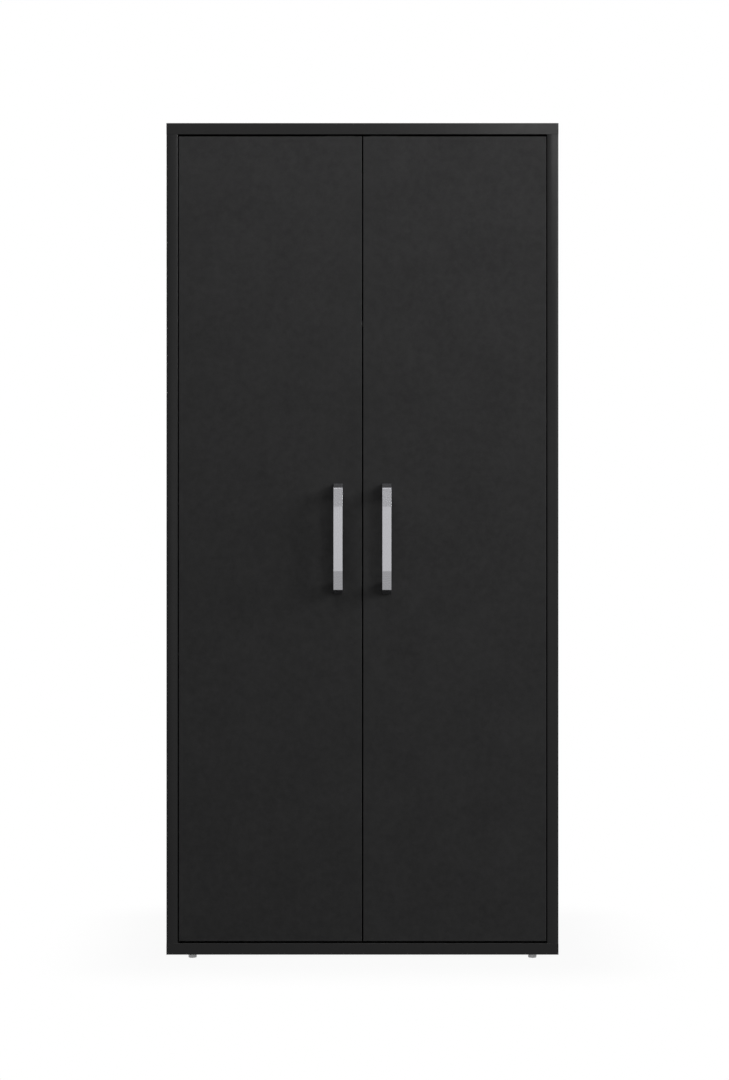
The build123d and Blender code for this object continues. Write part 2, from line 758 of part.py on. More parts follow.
# Hinge arms: a sheet channel with a swan neck that turns on the pin inside the cup
neck_line = [
    (pivot_x, pivot_y - knuckle_radius),
    (pivot_x + neck_outer, pivot_y - knuckle_radius),
    (pivot_x + neck_outer, pivot_y + bridge_back),
    (pivot_x + leg_outer, pivot_y + bridge_back),
    (pivot_x + leg_outer, pivot_y + leg_end),
    (pivot_x + leg_inner, pivot_y + leg_end),
    (pivot_x + leg_inner, pivot_y + bridge_front),
    (pivot_x + neck_inner, pivot_y + bridge_front),
    (pivot_x + neck_inner, pivot_y + knuckle_radius),
    (pivot_x, pivot_y + knuckle_radius),
]
hollow_line = [
    (pivot_x + leg_inner - arm_sheet, pivot_y - knuckle_radius - arm_sheet),
    (pivot_x + neck_outer - arm_sheet, pivot_y - knuckle_radius - arm_sheet),
    (pivot_x + neck_outer - arm_sheet, pivot_y + bridge_back - arm_sheet),
    (pivot_x + leg_outer - arm_sheet, pivot_y + bridge_back - arm_sheet),
    (pivot_x + leg_outer - arm_sheet, pivot_y + leg_end + arm_sheet),
    (pivot_x + leg_inner - arm_sheet, pivot_y + leg_end + arm_sheet),
]
arm_names = [f"hinge_arm_{number + 1}" for number in range(hinge_count)]
for arm_name, z in zip(arm_names, hinge_heights):
    with BuildPart() as left_arm:
        with BuildSketch(Plane.XY.offset(z)):
            with BuildLine():
                Polyline(*neck_line)
                ThreePointArc(neck_line[-1], (pivot_x - knuckle_radius, pivot_y), neck_line[0])
            make_face()
        extrude(amount=arm_height / 2, both=True)
        with BuildSketch(Plane.XY.offset(z)):
            with BuildLine():
                Polyline(*hollow_line, close=True)
            make_face()
        extrude(amount=arm_height / 2 - arm_sheet, both=True, mode=Mode.SUBTRACT)
        with BuildSketch(Plane.XY.offset(z)):
            with Locations((pivot_x, pivot_y)):
                Circle(hinge_pin_radius + running_fit)
        extrude(amount=arm_height / 2, both=True, mode=Mode.SUBTRACT)
        with BuildSketch(Plane.YZ.offset(arm_face_x)):
            with Locations((adjust_screw_y, z), (clamp_screw_y, z)):
                Circle(machine_screw_radius + screw_fit)
        extrude(amount=-arm_sheet, mode=Mode.SUBTRACT)
    save(left_arm, f"left_{arm_name}")
    with BuildPart() as right_arm:
        mirror(left_arm.part, about=Plane.YZ)
    save(right_arm, f"right_{arm_name}")

# Hinge plates on the side panels: a base with two wings and a block inside the arm's channel
block_half = arm_height / 2 - arm_sheet - seat_gap
block_face_x = arm_face_x - arm_sheet - seat_gap
plate_length = arm_leg_length - 2 * seat_gap
plate_middle_y = pivot_y + (bridge_front + leg_end) / 2
with BuildPart() as left_hinge_plates:
    with BuildSketch(Plane.YZ.offset(-inner_x)):
        with Locations(*[(plate_middle_y, z) for z in hinge_heights]):
            Rectangle(plate_length, arm_height)
        with Locations(*[(plate_screw_y, z) for z in hinge_heights]):
            SlotOverall(plate_wing_length, plate_wing_width, rotation=90)
    extrude(amount=plate_thickness)
    with BuildSketch(Plane.YZ.offset(plate_face_x)):
        with Locations(*[(plate_middle_y, z) for z in hinge_heights]):
            Rectangle(plate_length, 2 * block_half)
    extrude(amount=block_face_x - plate_face_x)
    with BuildSketch(Plane.YZ.offset(-inner_x)):
        with Locations(*plate_screw_spots):
            Circle(wood_screw_radius + screw_fit)
    extrude(amount=plate_thickness, mode=Mode.SUBTRACT)
    with BuildSketch(Plane.YZ.offset(block_face_x)):
        with Locations(*arm_screw_spots):
            Circle(machine_screw_radius + screw_fit)
    extrude(amount=plate_face_x - block_face_x, mode=Mode.SUBTRACT)
save(left_hinge_plates, "left_hinge_plates")

with BuildPart() as right_hinge_plates:
    mirror(left_hinge_plates.part, about=Plane.YZ)
save(right_hinge_plates, "right_hinge_plates")

with BuildPart() as plate_screws:
    with BuildSketch(Plane.YZ.offset(plate_face_x)):
        with Locations(*plate_screw_spots):
            Circle(wood_screw_radius)
    extrude(amount=-plate_thickness - wood_screw_length)
    with BuildSketch(Plane.YZ.offset(plate_face_x)):
        with Locations(*plate_screw_spots):
            Circle(wood_head_radius)
    extrude(amount=wood_head_height)
    with BuildSketch(Plane.YZ.offset(plate_face_x + wood_head_height)):
        with Locations(*plate_screw_spots):
            Rectangle(recess_length, recess_width)
            Rectangle(recess_width, recess_length)
    extrude(amount=-recess_depth, mode=Mode.SUBTRACT)
    mirror(about=Plane.YZ)
save(plate_screws, "plate_screws")

with BuildPart() as arm_screws:
    with BuildSketch(Plane.YZ.offset(arm_face_x)):
        with Locations(*arm_screw_spots):
            Circle(machine_screw_radius)
    extrude(amount=plate_face_x - arm_face_x + seat_gap)
    with BuildSketch(Plane.YZ.offset(arm_face_x)):
        with Locations(*arm_screw_spots):
            Circle(wood_head_radius)
    extrude(amount=wood_head_height)
    with BuildSketch(Plane.YZ.offset(arm_face_x + wood_head_height)):
        with Locations(*arm_screw_spots):
            Rectangle(recess_length, recess_width)
            Rectangle(recess_width, recess_length)
    extrude(amount=-recess_depth, mode=Mode.SUBTRACT)
    mirror(about=Plane.YZ)
save(arm_screws, "arm_screws")

# Magnetic catches under the top panel, and their strike plates on the doors
with BuildPart() as left_catch:
    with BuildSketch(Plane.XY.offset(roof_z)):
        with Locations((catch_x, catch_middle_y)):
            Rectangle(catch_length, catch_depth)
    extrude(amount=-catch_height)
    with BuildSketch(Plane.XY.offset(roof_z)):
        with Locations((catch_x, catch_middle_y)):
            Rectangle(catch_length + 2 * catch_ear, catch_depth)
    extrude(amount=-catch_ear_thickness)
    with BuildSketch(across(catch_front_y)):
        with Locations((catch_x, roof_z - catch_height / 2)):
            Rectangle(magnet_length + 2 * screw_fit, magnet_height + 2 * screw_fit)
    extrude(amount=-magnet_depth - seat_gap, mode=Mode.SUBTRACT)
    with BuildSketch(Plane.XY.offset(roof_z)):
        with Locations(*[spot for spot in catch_screw_spots if spot[0] < 0]):
            Circle(wood_screw_radius + screw_fit)
    extrude(amount=-catch_ear_thickness, mode=Mode.SUBTRACT)
save(left_catch, "left_catch")

with BuildPart() as right_catch:
    mirror(left_catch.part, about=Plane.YZ)
save(right_catch, "right_catch")

with BuildPart() as catch_magnets:
    with BuildSketch(across(catch_front_y)):
        with Locations((catch_x, roof_z - catch_height / 2), (-catch_x, roof_z - catch_height / 2)):
            Rectangle(magnet_length, magnet_height)
    extrude(amount=-magnet_depth)
save(catch_magnets, "catch_magnets")

with BuildPart() as catch_screws:
    with BuildSketch(Plane.XY.offset(roof_z - catch_ear_thickness)):
        with Locations(*catch_screw_spots):
            Circle(wood_screw_radius)
    extrude(amount=catch_ear_thickness + wood_screw_length)
    with BuildSketch(Plane.XY.offset(roof_z - catch_ear_thickness)):
        with Locations(*catch_screw_spots):
            Circle(wood_head_radius)
    extrude(amount=-wood_head_height)
    with BuildSketch(Plane.XY.offset(roof_z - catch_ear_thickness - wood_head_height)):
        with Locations(*catch_screw_spots):
            Rectangle(recess_length, recess_width)
            Rectangle(recess_width, recess_length)
    extrude(amount=recess_depth, mode=Mode.SUBTRACT)
save(catch_screws, "catch_screws")

# The strike plate's screw is countersunk, so that nothing stands between plate and magnet
strike_sink = strike_thickness / 2
with BuildPart() as left_strike_plate:
    with BuildSketch(across(door_back_y)):
        with Locations((catch_x, strike_z)):
            Rectangle(strike_length, strike_height)
    extrude(amount=-strike_thickness)
    with BuildSketch(across(door_back_y)):
        with Locations((catch_x, strike_z)):
            Circle(wood_screw_radius + screw_fit)
    extrude(amount=-strike_thickness, mode=Mode.SUBTRACT)
    with BuildSketch(across(door_back_y + strike_thickness)):
        with Locations((catch_x, strike_z)):
            Circle(wood_head_radius + screw_fit)
    extrude(amount=strike_sink, mode=Mode.SUBTRACT)
save(left_strike_plate, "left_strike_plate")

with BuildPart() as right_strike_plate:
    mirror(left_strike_plate.part, about=Plane.YZ)
save(right_strike_plate, "right_strike_plate")

with BuildPart() as left_strike_screw:
    with BuildSketch(across(door_back_y + strike_thickness - strike_sink)):
        with Locations((catch_x, strike_z)):
            Circle(wood_screw_radius)
    extrude(amount=strike_thickness - strike_sink + cup_screw_depth)
    with BuildSketch(across(door_back_y + strike_thickness - strike_sink)):
        with Locations((catch_x, strike_z)):
            Circle(wood_head_radius)
    extrude(amount=-strike_sink)
save(left_strike_screw, "left_strike_screw")

with BuildPart() as right_strike_screw:
    mirror(left_strike_screw.part, about=Plane.YZ)
save(right_strike_screw, "right_strike_screw")

# Wall brackets under the rear of the top panel, drilled through to the wall with the back panel
with BuildPart() as wall_brackets:
    with BuildSketch(Plane.XY.offset(roof_z)):
        with Locations(*[(s * bracket_x, board_back_y - bracket_leg / 2) for s in (-1, 1)]):
            Rectangle(bracket_width, bracket_leg)
    extrude(amount=-bracket_sheet)
    with BuildSketch(across(board_back_y)):
        with Locations(*[(s * bracket_x, roof_z - bracket_leg / 2) for s in (-1, 1)]):
            Rectangle(bracket_width, bracket_leg)
    extrude(amount=bracket_sheet)
    with BuildSketch(Plane.XY.offset(roof_z)):
        with Locations(*bracket_screw_spots):
            Circle(wood_screw_radius + screw_fit)
    extrude(amount=-bracket_sheet, mode=Mode.SUBTRACT)
    with BuildSketch(across(board_back_y)):
        with Locations((-bracket_x, wall_hole_z), (bracket_x, wall_hole_z)):
            Circle(wall_hole_radius)
    extrude(amount=bracket_sheet, mode=Mode.SUBTRACT)
save(wall_brackets, "wall_brackets")

with BuildPart() as bracket_screws:
    with BuildSketch(Plane.XY.offset(roof_z - bracket_sheet)):
        with Locations(*bracket_screw_spots):
            Circle(wood_screw_radius)
    extrude(amount=bracket_sheet + wood_screw_length)
    with BuildSketch(Plane.XY.offset(roof_z - bracket_sheet)):
        with Locations(*bracket_screw_spots):
            Circle(wood_head_radius)
    extrude(amount=-wood_head_height)
    with BuildSketch(Plane.XY.offset(roof_z - bracket_sheet - wood_head_height)):
        with Locations(*bracket_screw_spots):
            Rectangle(recess_length, recess_width)
            Rectangle(recess_width, recess_length)
    extrude(amount=recess_depth, mode=Mode.SUBTRACT)
save(bracket_screws, "bracket_screws")
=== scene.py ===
# %% [markdown]
# # A black two-door wardrobe
#
# The wardrobe comes from CAD as separate boards, doors, hinges and fixings that already sit in
# their places. This lesson loads them as a fixed frame, gives every finish a procedural material,
# and makes anew the pieces whose roundness a CAD mesh only hints at. Lengths are in metres, +X is
# to the right, +Y to the back, +Z up, and the floor is at zero.

# %% Load the frame
import json

import bmesh
import bpy
import numpy as np
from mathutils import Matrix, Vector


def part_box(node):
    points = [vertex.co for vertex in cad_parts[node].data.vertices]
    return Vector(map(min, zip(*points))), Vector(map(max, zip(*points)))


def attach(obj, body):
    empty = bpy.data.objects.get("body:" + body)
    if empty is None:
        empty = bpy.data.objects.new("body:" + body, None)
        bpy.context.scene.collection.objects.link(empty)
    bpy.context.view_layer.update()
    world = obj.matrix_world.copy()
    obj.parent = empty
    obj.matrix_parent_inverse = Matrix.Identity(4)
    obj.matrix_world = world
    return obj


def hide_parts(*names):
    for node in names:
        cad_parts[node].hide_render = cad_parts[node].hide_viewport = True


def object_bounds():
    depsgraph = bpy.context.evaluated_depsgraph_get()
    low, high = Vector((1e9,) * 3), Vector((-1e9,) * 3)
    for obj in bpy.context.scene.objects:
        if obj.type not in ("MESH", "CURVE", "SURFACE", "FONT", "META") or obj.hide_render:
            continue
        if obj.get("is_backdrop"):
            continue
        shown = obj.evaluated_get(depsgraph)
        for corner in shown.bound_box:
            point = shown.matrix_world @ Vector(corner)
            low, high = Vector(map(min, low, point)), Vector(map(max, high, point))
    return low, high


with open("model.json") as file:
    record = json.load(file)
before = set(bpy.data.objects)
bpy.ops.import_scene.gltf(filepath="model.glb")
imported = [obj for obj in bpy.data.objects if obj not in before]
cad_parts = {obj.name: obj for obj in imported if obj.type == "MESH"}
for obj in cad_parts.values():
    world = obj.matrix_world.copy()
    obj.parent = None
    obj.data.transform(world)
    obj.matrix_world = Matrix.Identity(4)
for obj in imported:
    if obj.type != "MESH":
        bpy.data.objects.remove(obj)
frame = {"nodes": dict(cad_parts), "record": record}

nodes = frame["nodes"]
cad_low, cad_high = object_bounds()
MM = 0.001
print("CAD box in mm:", np.round((np.array(cad_high) - np.array(cad_low)) / MM, 1))

# %% [markdown]
# ## The camera
#
# The picture is taken straight at the doors, from so far away that the sides can't be seen. One
# row of the picture covers 2.234 mm on the front of the carcass, which gives the height of the
# frame there, and the lens follows from that height and the distance. The feet look a little
# shorter than they are, because they stand back from the front edge: that sets the distance.

# %% Camera
picture_rows, row_height = 1080, 2.234 * MM
camera_distance = 5.0
camera_x, camera_z = 4.6 * MM, 938.5 * MM
front_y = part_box("top_panel")[0].y

lens_data = bpy.data.cameras.new("camera")
lens_data.lens = lens_data.sensor_width * camera_distance / (picture_rows * row_height)
camera = bpy.data.objects.new("camera", lens_data)
camera.location = (camera_x, front_y - camera_distance, camera_z)
camera.rotation_euler = (np.pi / 2, 0, 0)
bpy.context.scene.collection.objects.link(camera)
bpy.context.scene.camera = camera
bpy.context.scene.view_settings.view_transform = "Standard"
print("lens in mm:", round(lens_data.lens, 2))

# %% [markdown]
# ## A few words for node trees
#
# A material is a small graph of nodes, and the plain calls that build one are wordy. Two helpers
# do the wiring: one adds a node and fills its inputs, each with a value or with a link, and one
# opens a node group with named sockets. A group is an effect that several finishes share, each
# with its own values. Four more helpers give short names to the nodes that come up most.


# %% Node helpers
def add(tree, kind, inputs=None, **settings):
    """Add a node of a kind to a tree, set its own settings, then its inputs by name or number."""
    node = tree.nodes.new(kind)
    for name, value in settings.items():
        setattr(node, name, value)
    for name, value in (inputs or {}).items():
        if isinstance(value, bpy.types.NodeSocket):
            tree.links.new(value, node.inputs[name])
        else:
            node.inputs[name].default_value = value
    return node


def group(name, inputs, outputs):
    """Open a node group: inputs maps a name to (socket kind, default), outputs maps it to a kind."""
    tree = bpy.data.node_groups.new(name, "ShaderNodeTree")
    for label, (kind, value) in inputs.items():
        socket = tree.interface.new_socket(label, in_out="INPUT", socket_type=kind)
        socket.default_value = value
    for label, kind in outputs.items():
        tree.interface.new_socket(label, in_out="OUTPUT", socket_type=kind)
    return tree, tree.nodes.new("NodeGroupInput"), tree.nodes.new("NodeGroupOutput")


def blend(tree, share, first, second):
    """Mix two colours by a share from 0 to 1. A colour is three numbers or a socket."""
    first, second = (c if isinstance(c, bpy.types.NodeSocket) else (*c, 1) for c in (first, second))
    mix = add(tree, "ShaderNodeMix", {0: share, 6: first, 7: second}, data_type="RGBA")
    return mix.outputs[2]


def level(tree, value, low=0.0, high=1.0, start=0.0, stop=1.0, **settings):
    """Carry a value that runs from start to stop onto the range from low to high."""
    inputs = {0: value, 1: start, 2: stop, 3: low, 4: high}
    return add(tree, "ShaderNodeMapRange", inputs, **settings).outputs[0]


def calc(tree, operation, first, second):
    """Work out two numbers, or sockets that carry numbers, with a Math node."""
    return add(tree, "ShaderNodeMath", {0: first, 1: second}, operation=operation).outputs[0]


def noise(tree, place, scale, detail, roughness=0.5):
    """A noise at a place: so many blots to the metre, with finer and finer layers of detail."""
    inputs = {"Vector": place, "Scale": scale, "Detail": detail, "Roughness": roughness}
    return add(tree, "ShaderNodeTexNoise", inputs).outputs[0]


FLOAT, VECTOR = "NodeSocketFloat", "NodeSocketVector"
print("node helpers are ready")

# %% [markdown]
# ## Shared effect: cloud and grain
#
# Black foil is never one flat black. It has broad soft clouds, a hand's breadth across, and over
# them a suede-like mottle of blots as wide as a thumb and smaller. Under both lies a fine skin like
# that of an orange. An image of foil could be laid on, but it would repeat across a door. Noise
# never repeats, so three scales of it are used: the clouds and the mottle go to the colour, and the
# skin goes to the bump.

# %% Group: cloud and grain
blots_per_cloud, blot_share, dimples_per_grain = 5.5, 0.74, 0.28
cloud_start, cloud_stop = 0.35, 0.65

clouds, given, result = group(
    "cloud_and_grain",
    {"Place": (VECTOR, (0, 0, 0)), "Clouds per Metre": (FLOAT, 12.0),
     "Grains per Metre": (FLOAT, 900.0)},
    {"Cloud": FLOAT, "Grain": FLOAT, "Skin": FLOAT},
)
place, per_metre = given.outputs["Place"], given.outputs["Clouds per Metre"]
broad = noise(clouds, place, per_metre, detail=2.0)
blot_scale = calc(clouds, "MULTIPLY", per_metre, blots_per_cloud)
mottle = noise(clouds, place, blot_scale, detail=4.0, roughness=0.8)
both = add(clouds, "ShaderNodeMix", {0: blot_share, 2: broad, 3: mottle}).outputs[0]
cloud = level(clouds, both, start=cloud_start, stop=cloud_stop)
clouds.links.new(cloud, result.inputs["Cloud"])

per_metre = given.outputs["Grains per Metre"]
fine = noise(clouds, place, per_metre, detail=2.0)
dimple_scale = calc(clouds, "MULTIPLY", per_metre, dimples_per_grain)
dimples = add(clouds, "ShaderNodeTexVoronoi", {"Vector": place, "Scale": dimple_scale},
              feature="SMOOTH_F1")
clouds.links.new(fine, result.inputs["Grain"])
clouds.links.new(calc(clouds, "ADD", dimples.outputs["Distance"], fine), result.inputs["Skin"])
print("group:", clouds.name)

# %% [markdown]
# ## Shared effect: drawn grain
#
# Metal that was brushed or drawn through a die carries hair lines along the length of the piece.
# The lines are a noise that is stretched: the place is multiplied by few lines along the length
# and by many across it before the noise is read. A second noise, not stretched, gives patches.

# %% Group: drawn grain
patches_per_metre = 45.0

drawn, given, result = group(
    "drawn_grain",
    {"Place": (VECTOR, (0, 0, 0)), "Lines": (VECTOR, (1500, 1500, 8))},
    {"Line": FLOAT, "Patch": FLOAT},
)
place = given.outputs["Place"]
stretched = add(drawn, "ShaderNodeVectorMath", {0: place, 1: given.outputs["Lines"]},
                operation="MULTIPLY").outputs[0]
hair = noise(drawn, stretched, 1.0, detail=3.0)
patch = noise(drawn, place, patches_per_metre, detail=4.0, roughness=0.6)
drawn.links.new(hair, result.inputs["Line"])
drawn.links.new(patch, result.inputs["Patch"])
print("group:", drawn.name)

# %% [markdown]
# ## Shared effect: settled dust
#
# Dust lies only on what faces up, and it lies in patches. The upward part of the surface normal,
# squared so that slopes stay clean, is multiplied by a noise. The result is a mask that each
# material mixes in as a pale film.

# %% Group: settled dust
drifts_per_metre = 9.0
drift_start, drift_stop = 0.35, 0.75

dust, given, result = group(
    "settled_dust",
    {"Place": (VECTOR, (0, 0, 0)), "Amount": (FLOAT, 0.1)},
    {"Film": FLOAT},
)
normal = add(dust, "ShaderNodeNewGeometry").outputs["Normal"]
upward = add(dust, "ShaderNodeSeparateXYZ", {0: normal}).outputs["Z"]
squared = calc(dust, "POWER", calc(dust, "MAXIMUM", upward, 0.0), 2.0)
drift = noise(dust, given.outputs["Place"], drifts_per_metre, detail=8.0, roughness=0.7)
thin = calc(dust, "MULTIPLY", squared, level(dust, drift, start=drift_start, stop=drift_stop))
film = calc(dust, "MULTIPLY", thin, given.outputs["Amount"])
dust.links.new(film, result.inputs["Film"])
print("group:", dust.name)


# %% [markdown]
# ## Starting and ending a material
#
# Every finish begins the same way: a Principled shader, the Object coordinates that stay with the
# piece when it moves, and the constant values set on the shader's own sockets. It ends with a
# colour, a roughness and mostly a bump that are led to the shader, and dust can lie over the
# colour. These steps are helpers, so that a finish below is only what makes it different.


# %% Material helpers
def finish(name, **constants):
    """Start a material: returns it with its tree, its shader and the Object coordinates."""
    material = bpy.data.materials.new(name)
    material.use_nodes = True
    tree = material.node_tree
    shader = tree.nodes["Principled BSDF"]
    for socket, value in constants.items():
        shader.inputs[socket.replace("_", " ")].default_value = value
    return material, tree, shader, add(tree, "ShaderNodeTexCoord").outputs["Object"]


def effect(tree, node_group, **inputs):
    """Place a shared effect in a material with its own values."""
    named = {name.replace("_", " "): value for name, value in inputs.items()}
    return add(tree, "ShaderNodeGroup", named, node_tree=node_group).outputs


def dusted(tree, place, colour, amount, film):
    """Lay dust of a film colour over a colour."""
    return blend(tree, effect(tree, dust, Place=place, Amount=amount)["Film"], colour, film)


def lead(tree, shader, colour, roughness):
    """Lead a colour and a roughness to the shader."""
    tree.links.new(colour, shader.inputs["Base Color"])
    tree.links.new(roughness, shader.inputs["Roughness"])


def bump(tree, shader, height, relief, strength):
    """Lead a height to the shader's normal: the relief is the height in metres of a full step."""
    raised = add(tree, "ShaderNodeBump", {"Height": height, "Distance": relief, "Strength": strength})
    tree.links.new(raised.outputs[0], shader.inputs["Normal"])


finishes = {}
print("material helpers are ready")

# %% [markdown]
# ## Finish: black foil on the boards and doors
#
# The boards are particle board under a matt black foil. A single dark colour would look like a
# hole in the picture, so the clouds move it a little up and down, and they move the roughness with
# it, which is what makes them show under grazing light. The skin is a few hundredths of a
# millimetre high, and its grain shows as a fine lighter speckle. Dust greys what faces up.

# %% Black foil
speck, dust_on_black = (0.030, 0.030, 0.031), (0.11, 0.107, 0.103)


def black_skin(name, mirror, dark, light, rough, smooth, speckle, relief, strength):
    """A black that drifts in clouds from dark and rough to light and smooth. The mirror is the
    shader's specular level, the speckle is the most that the grain lightens it."""
    material, tree, shader, place = finish(name, Specular_IOR_Level=mirror)
    shade = effect(tree, clouds, Place=place, Clouds_per_Metre=11.0, Grains_per_Metre=1400.0)
    black = blend(tree, shade["Cloud"], dark, light)
    speckled = blend(tree, level(tree, shade["Grain"], high=speckle), black, speck)
    dusty = dusted(tree, place, speckled, amount=0.12, film=dust_on_black)
    lead(tree, shader, dusty, level(tree, shade["Cloud"], rough, smooth))
    bump(tree, shader, shade["Skin"], relief, strength)
    print("finish:", name)
    return material


finishes["black_board"] = black_skin(
    "black_foil", mirror=0.06, dark=(0.0128, 0.0128, 0.0129), light=(0.0192, 0.0192, 0.0193),
    rough=0.62, smooth=0.52, speckle=0.25, relief=0.03 * MM, strength=0.5)

# %% [markdown]
# ## Finish: the lipping on the front edges
#
# The front edges are closed with a strip of the same black that is smoother than the foil, so it
# mirrors a little of the room where the foil mirrors next to nothing. It is the same graph as the
# foil with a darker colour, less roughness, a stronger mirror and no speckle.

# %% Edge lipping
finishes["edge_lipping"] = black_skin(
    "edge_lipping", mirror=0.18, dark=(0.0034, 0.0034, 0.0035), light=(0.0052, 0.0052, 0.0053),
    rough=0.34, smooth=0.29, speckle=0.0, relief=0.01 * MM, strength=0.3)

# %% [markdown]
# ## Finish: hardboard back
#
# The back is thin hardboard. Its inner face is painted to go with the boards, and its outer face
# is left raw, a warm brown felt of short fibres. Which face a point is on follows from its depth
# in the wardrobe, so the mask is the Y of the Object coordinates.

# %% Hardboard
inner_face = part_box("left_back_panel")[0].y
paint_ends, raw_begins = inner_face + 0.1 * MM, inner_face + 0.3 * MM

raw_board, tree, shader, place = finish("hardboard", Specular_IOR_Level=0.2)
fibre = effect(tree, drawn, Place=place, Lines=(150, 150, 260))
felt = effect(tree, clouds, Place=place, Clouds_per_Metre=16.0, Grains_per_Metre=900.0)
strands = level(tree, fibre["Line"], -0.7, 1.7)
brown = blend(tree, strands, (0.115, 0.066, 0.035), (0.30, 0.20, 0.12))
warm = blend(tree, level(tree, felt["Cloud"], high=0.45), brown, (0.20, 0.135, 0.083))
painted = blend(tree, felt["Cloud"], (0.0135, 0.0135, 0.0137), (0.0185, 0.0185, 0.0187))
depth = add(tree, "ShaderNodeSeparateXYZ", {0: place}).outputs["Y"]
outside = level(tree, depth, start=paint_ends, stop=raw_begins)
lead(tree, shader, blend(tree, outside, painted, warm), level(tree, felt["Grain"], 0.55, 0.85))
bump(tree, shader, felt["Skin"], relief=0.06 * MM, strength=0.7)
finishes["hardboard"] = raw_board
print("finish:", raw_board.name)

# %% [markdown]
# ## Finish: satin metal of the handles
#
# The handles are cast, brushed along their length and plated. The brushing is a drawn grain that
# runs up and down: it moves the roughness and raises a bump of a few thousandths of a millimetre,
# which is enough to pull the reflections into lines.

# %% Satin metal
satin, tree, shader, place = finish("satin_metal", Metallic=0.92)
hair = effect(tree, drawn, Place=place, Lines=(2200, 2200, 14))["Line"]
bright = blend(tree, hair, (0.27, 0.27, 0.285), (0.33, 0.33, 0.345))
lead(tree, shader, bright, level(tree, hair, 0.2, 0.34))
bump(tree, shader, hair, relief=0.004 * MM, strength=0.4)
finishes["satin_metal"] = satin
print("finish:", satin.name)

# %% [markdown]
# ## Finishes: hinge steel, zinc and the rail
#
# The hinges are nickel-plated pressings, the screws are zinc-plated, and the rail is drawn tube
# with a dull satin plating. They are the same graph with other values: a base colour that drifts in
# patches, and a roughness that follows the drawn lines.

# %% Plated metals
dust_on_pale = (0.3, 0.29, 0.27)


def plated(name, dark, light, smooth, rough, lines, relief=0.003 * MM):
    """A plated metal: its colour drifts from dark to light in patches, its roughness runs from
    smooth to rough across the lines, and the lines stand up by the relief."""
    material, tree, shader, place = finish(name, Metallic=1.0)
    grain = effect(tree, drawn, Place=place, Lines=lines)
    colour = blend(tree, grain["Patch"], dark, light)
    dusty = dusted(tree, place, colour, amount=0.12, film=dust_on_pale)
    lead(tree, shader, dusty, level(tree, grain["Line"], smooth, rough))
    bump(tree, shader, grain["Line"], relief, strength=0.4)
    print("finish:", name)
    return material


finishes["hinge_steel"] = plated(
    "hinge_steel", dark=(0.52, 0.515, 0.50), light=(0.60, 0.595, 0.58), smooth=0.23, rough=0.28,
    lines=(1900, 1900, 1300), relief=0.001 * MM)
finishes["zinc_screw"] = plated(
    "zinc_screw", dark=(0.46, 0.47, 0.48), light=(0.60, 0.60, 0.58), smooth=0.26, rough=0.42,
    lines=(900, 900, 900))
finishes["chrome_rail"] = plated(
    "chrome_rail", dark=(0.28, 0.28, 0.285), light=(0.33, 0.33, 0.335), smooth=0.40, rough=0.50,
    lines=(6, 900, 900))

# %% [markdown]
# ## Finishes: plastics and magnet
#
# Moulded plastic takes its skin from the mould, a very fine even grain. The feet came from a
# polished mould and hold a little silver pigment, so they get a gloss coat and a share of metal.
# The magnets are sintered ferrite, dull and dark, and the same graph serves them.


# %% Plastics and magnet
def moulded(name, dark, light, smooth, rough, grains, gloss=0.0, silver=0.0):
    """A moulded or sintered material: fine even grain in colour, roughness and bump, a gloss coat
    where the mould was polished, and a share of silver pigment."""
    material, tree, shader, place = finish(name, Specular_IOR_Level=0.4, Metallic=silver,
                                           Coat_Weight=gloss, Coat_Roughness=0.08)
    shade = effect(tree, clouds, Place=place, Clouds_per_Metre=30.0, Grains_per_Metre=grains)
    colour = blend(tree, shade["Cloud"], dark, light)
    dusty = dusted(tree, place, colour, amount=0.1, film=dust_on_pale)
    lead(tree, shader, dusty, level(tree, shade["Grain"], smooth, rough))
    bump(tree, shader, shade["Skin"], relief=0.02 * MM, strength=0.4)
    print("finish:", name)
    return material


finishes["grey_plastic"] = moulded(
    "grey_plastic", dark=(0.71, 0.71, 0.71), light=(0.79, 0.79, 0.79), smooth=0.2, rough=0.34,
    grains=1500, gloss=0.7, silver=0.2)
finishes["black_plastic"] = moulded(
    "black_plastic", dark=(0.016, 0.016, 0.016), light=(0.024, 0.024, 0.025), smooth=0.35,
    rough=0.5, grains=1800)
finishes["magnet"] = moulded(
    "magnet", dark=(0.05, 0.05, 0.052), light=(0.085, 0.085, 0.088), smooth=0.6, rough=0.85,
    grains=2500)

# %% [markdown]
# ## Finish: dowel wood
#
# The dowels are hidden in the boards, but they are beech all the same. Turned wood shows the same
# long lines as drawn metal, so the drawn grain is used again, with browns in place of greys.

# %% Dowel wood
beech, tree, shader, place = finish("dowel_wood", Specular_IOR_Level=0.3)
ring = effect(tree, drawn, Place=place, Lines=(900, 900, 25))
wood = blend(tree, ring["Line"], (0.40, 0.26, 0.14), (0.60, 0.44, 0.28))
lead(tree, shader, wood, level(tree, ring["Patch"], 0.55, 0.75))
finishes["dowel_wood"] = beech
print("finish:", beech.name)

# %% [markdown]
# ## Dressing the CAD pieces
#
# The record says which slot each CAD piece belongs to, and each slot now has a finish. A CAD mesh
# is left as it is: only its material slots are filled.

# %% Dress the CAD pieces
for part in frame["record"]["subparts"]:
    dressed = nodes[part["node"]].data.materials
    dressed.clear()
    dressed.append(finishes[part["material_slot"]])

# %% [markdown]
# ## From arrays to meshes
#
# A new piece is a grid of points worked out by numpy: rows by columns, each point three numbers.
# Every grid here is a tube, closed across its columns. One function gives the quads between the
# points, and one puts points and quads into a mesh. Points that fall together, such as the pole of
# a turned piece, are merged there, and the normals are turned outwards on the closed surface.

# %% Mesh helpers
merge_distance, sharp_angle = 0.002 * MM, 0.6


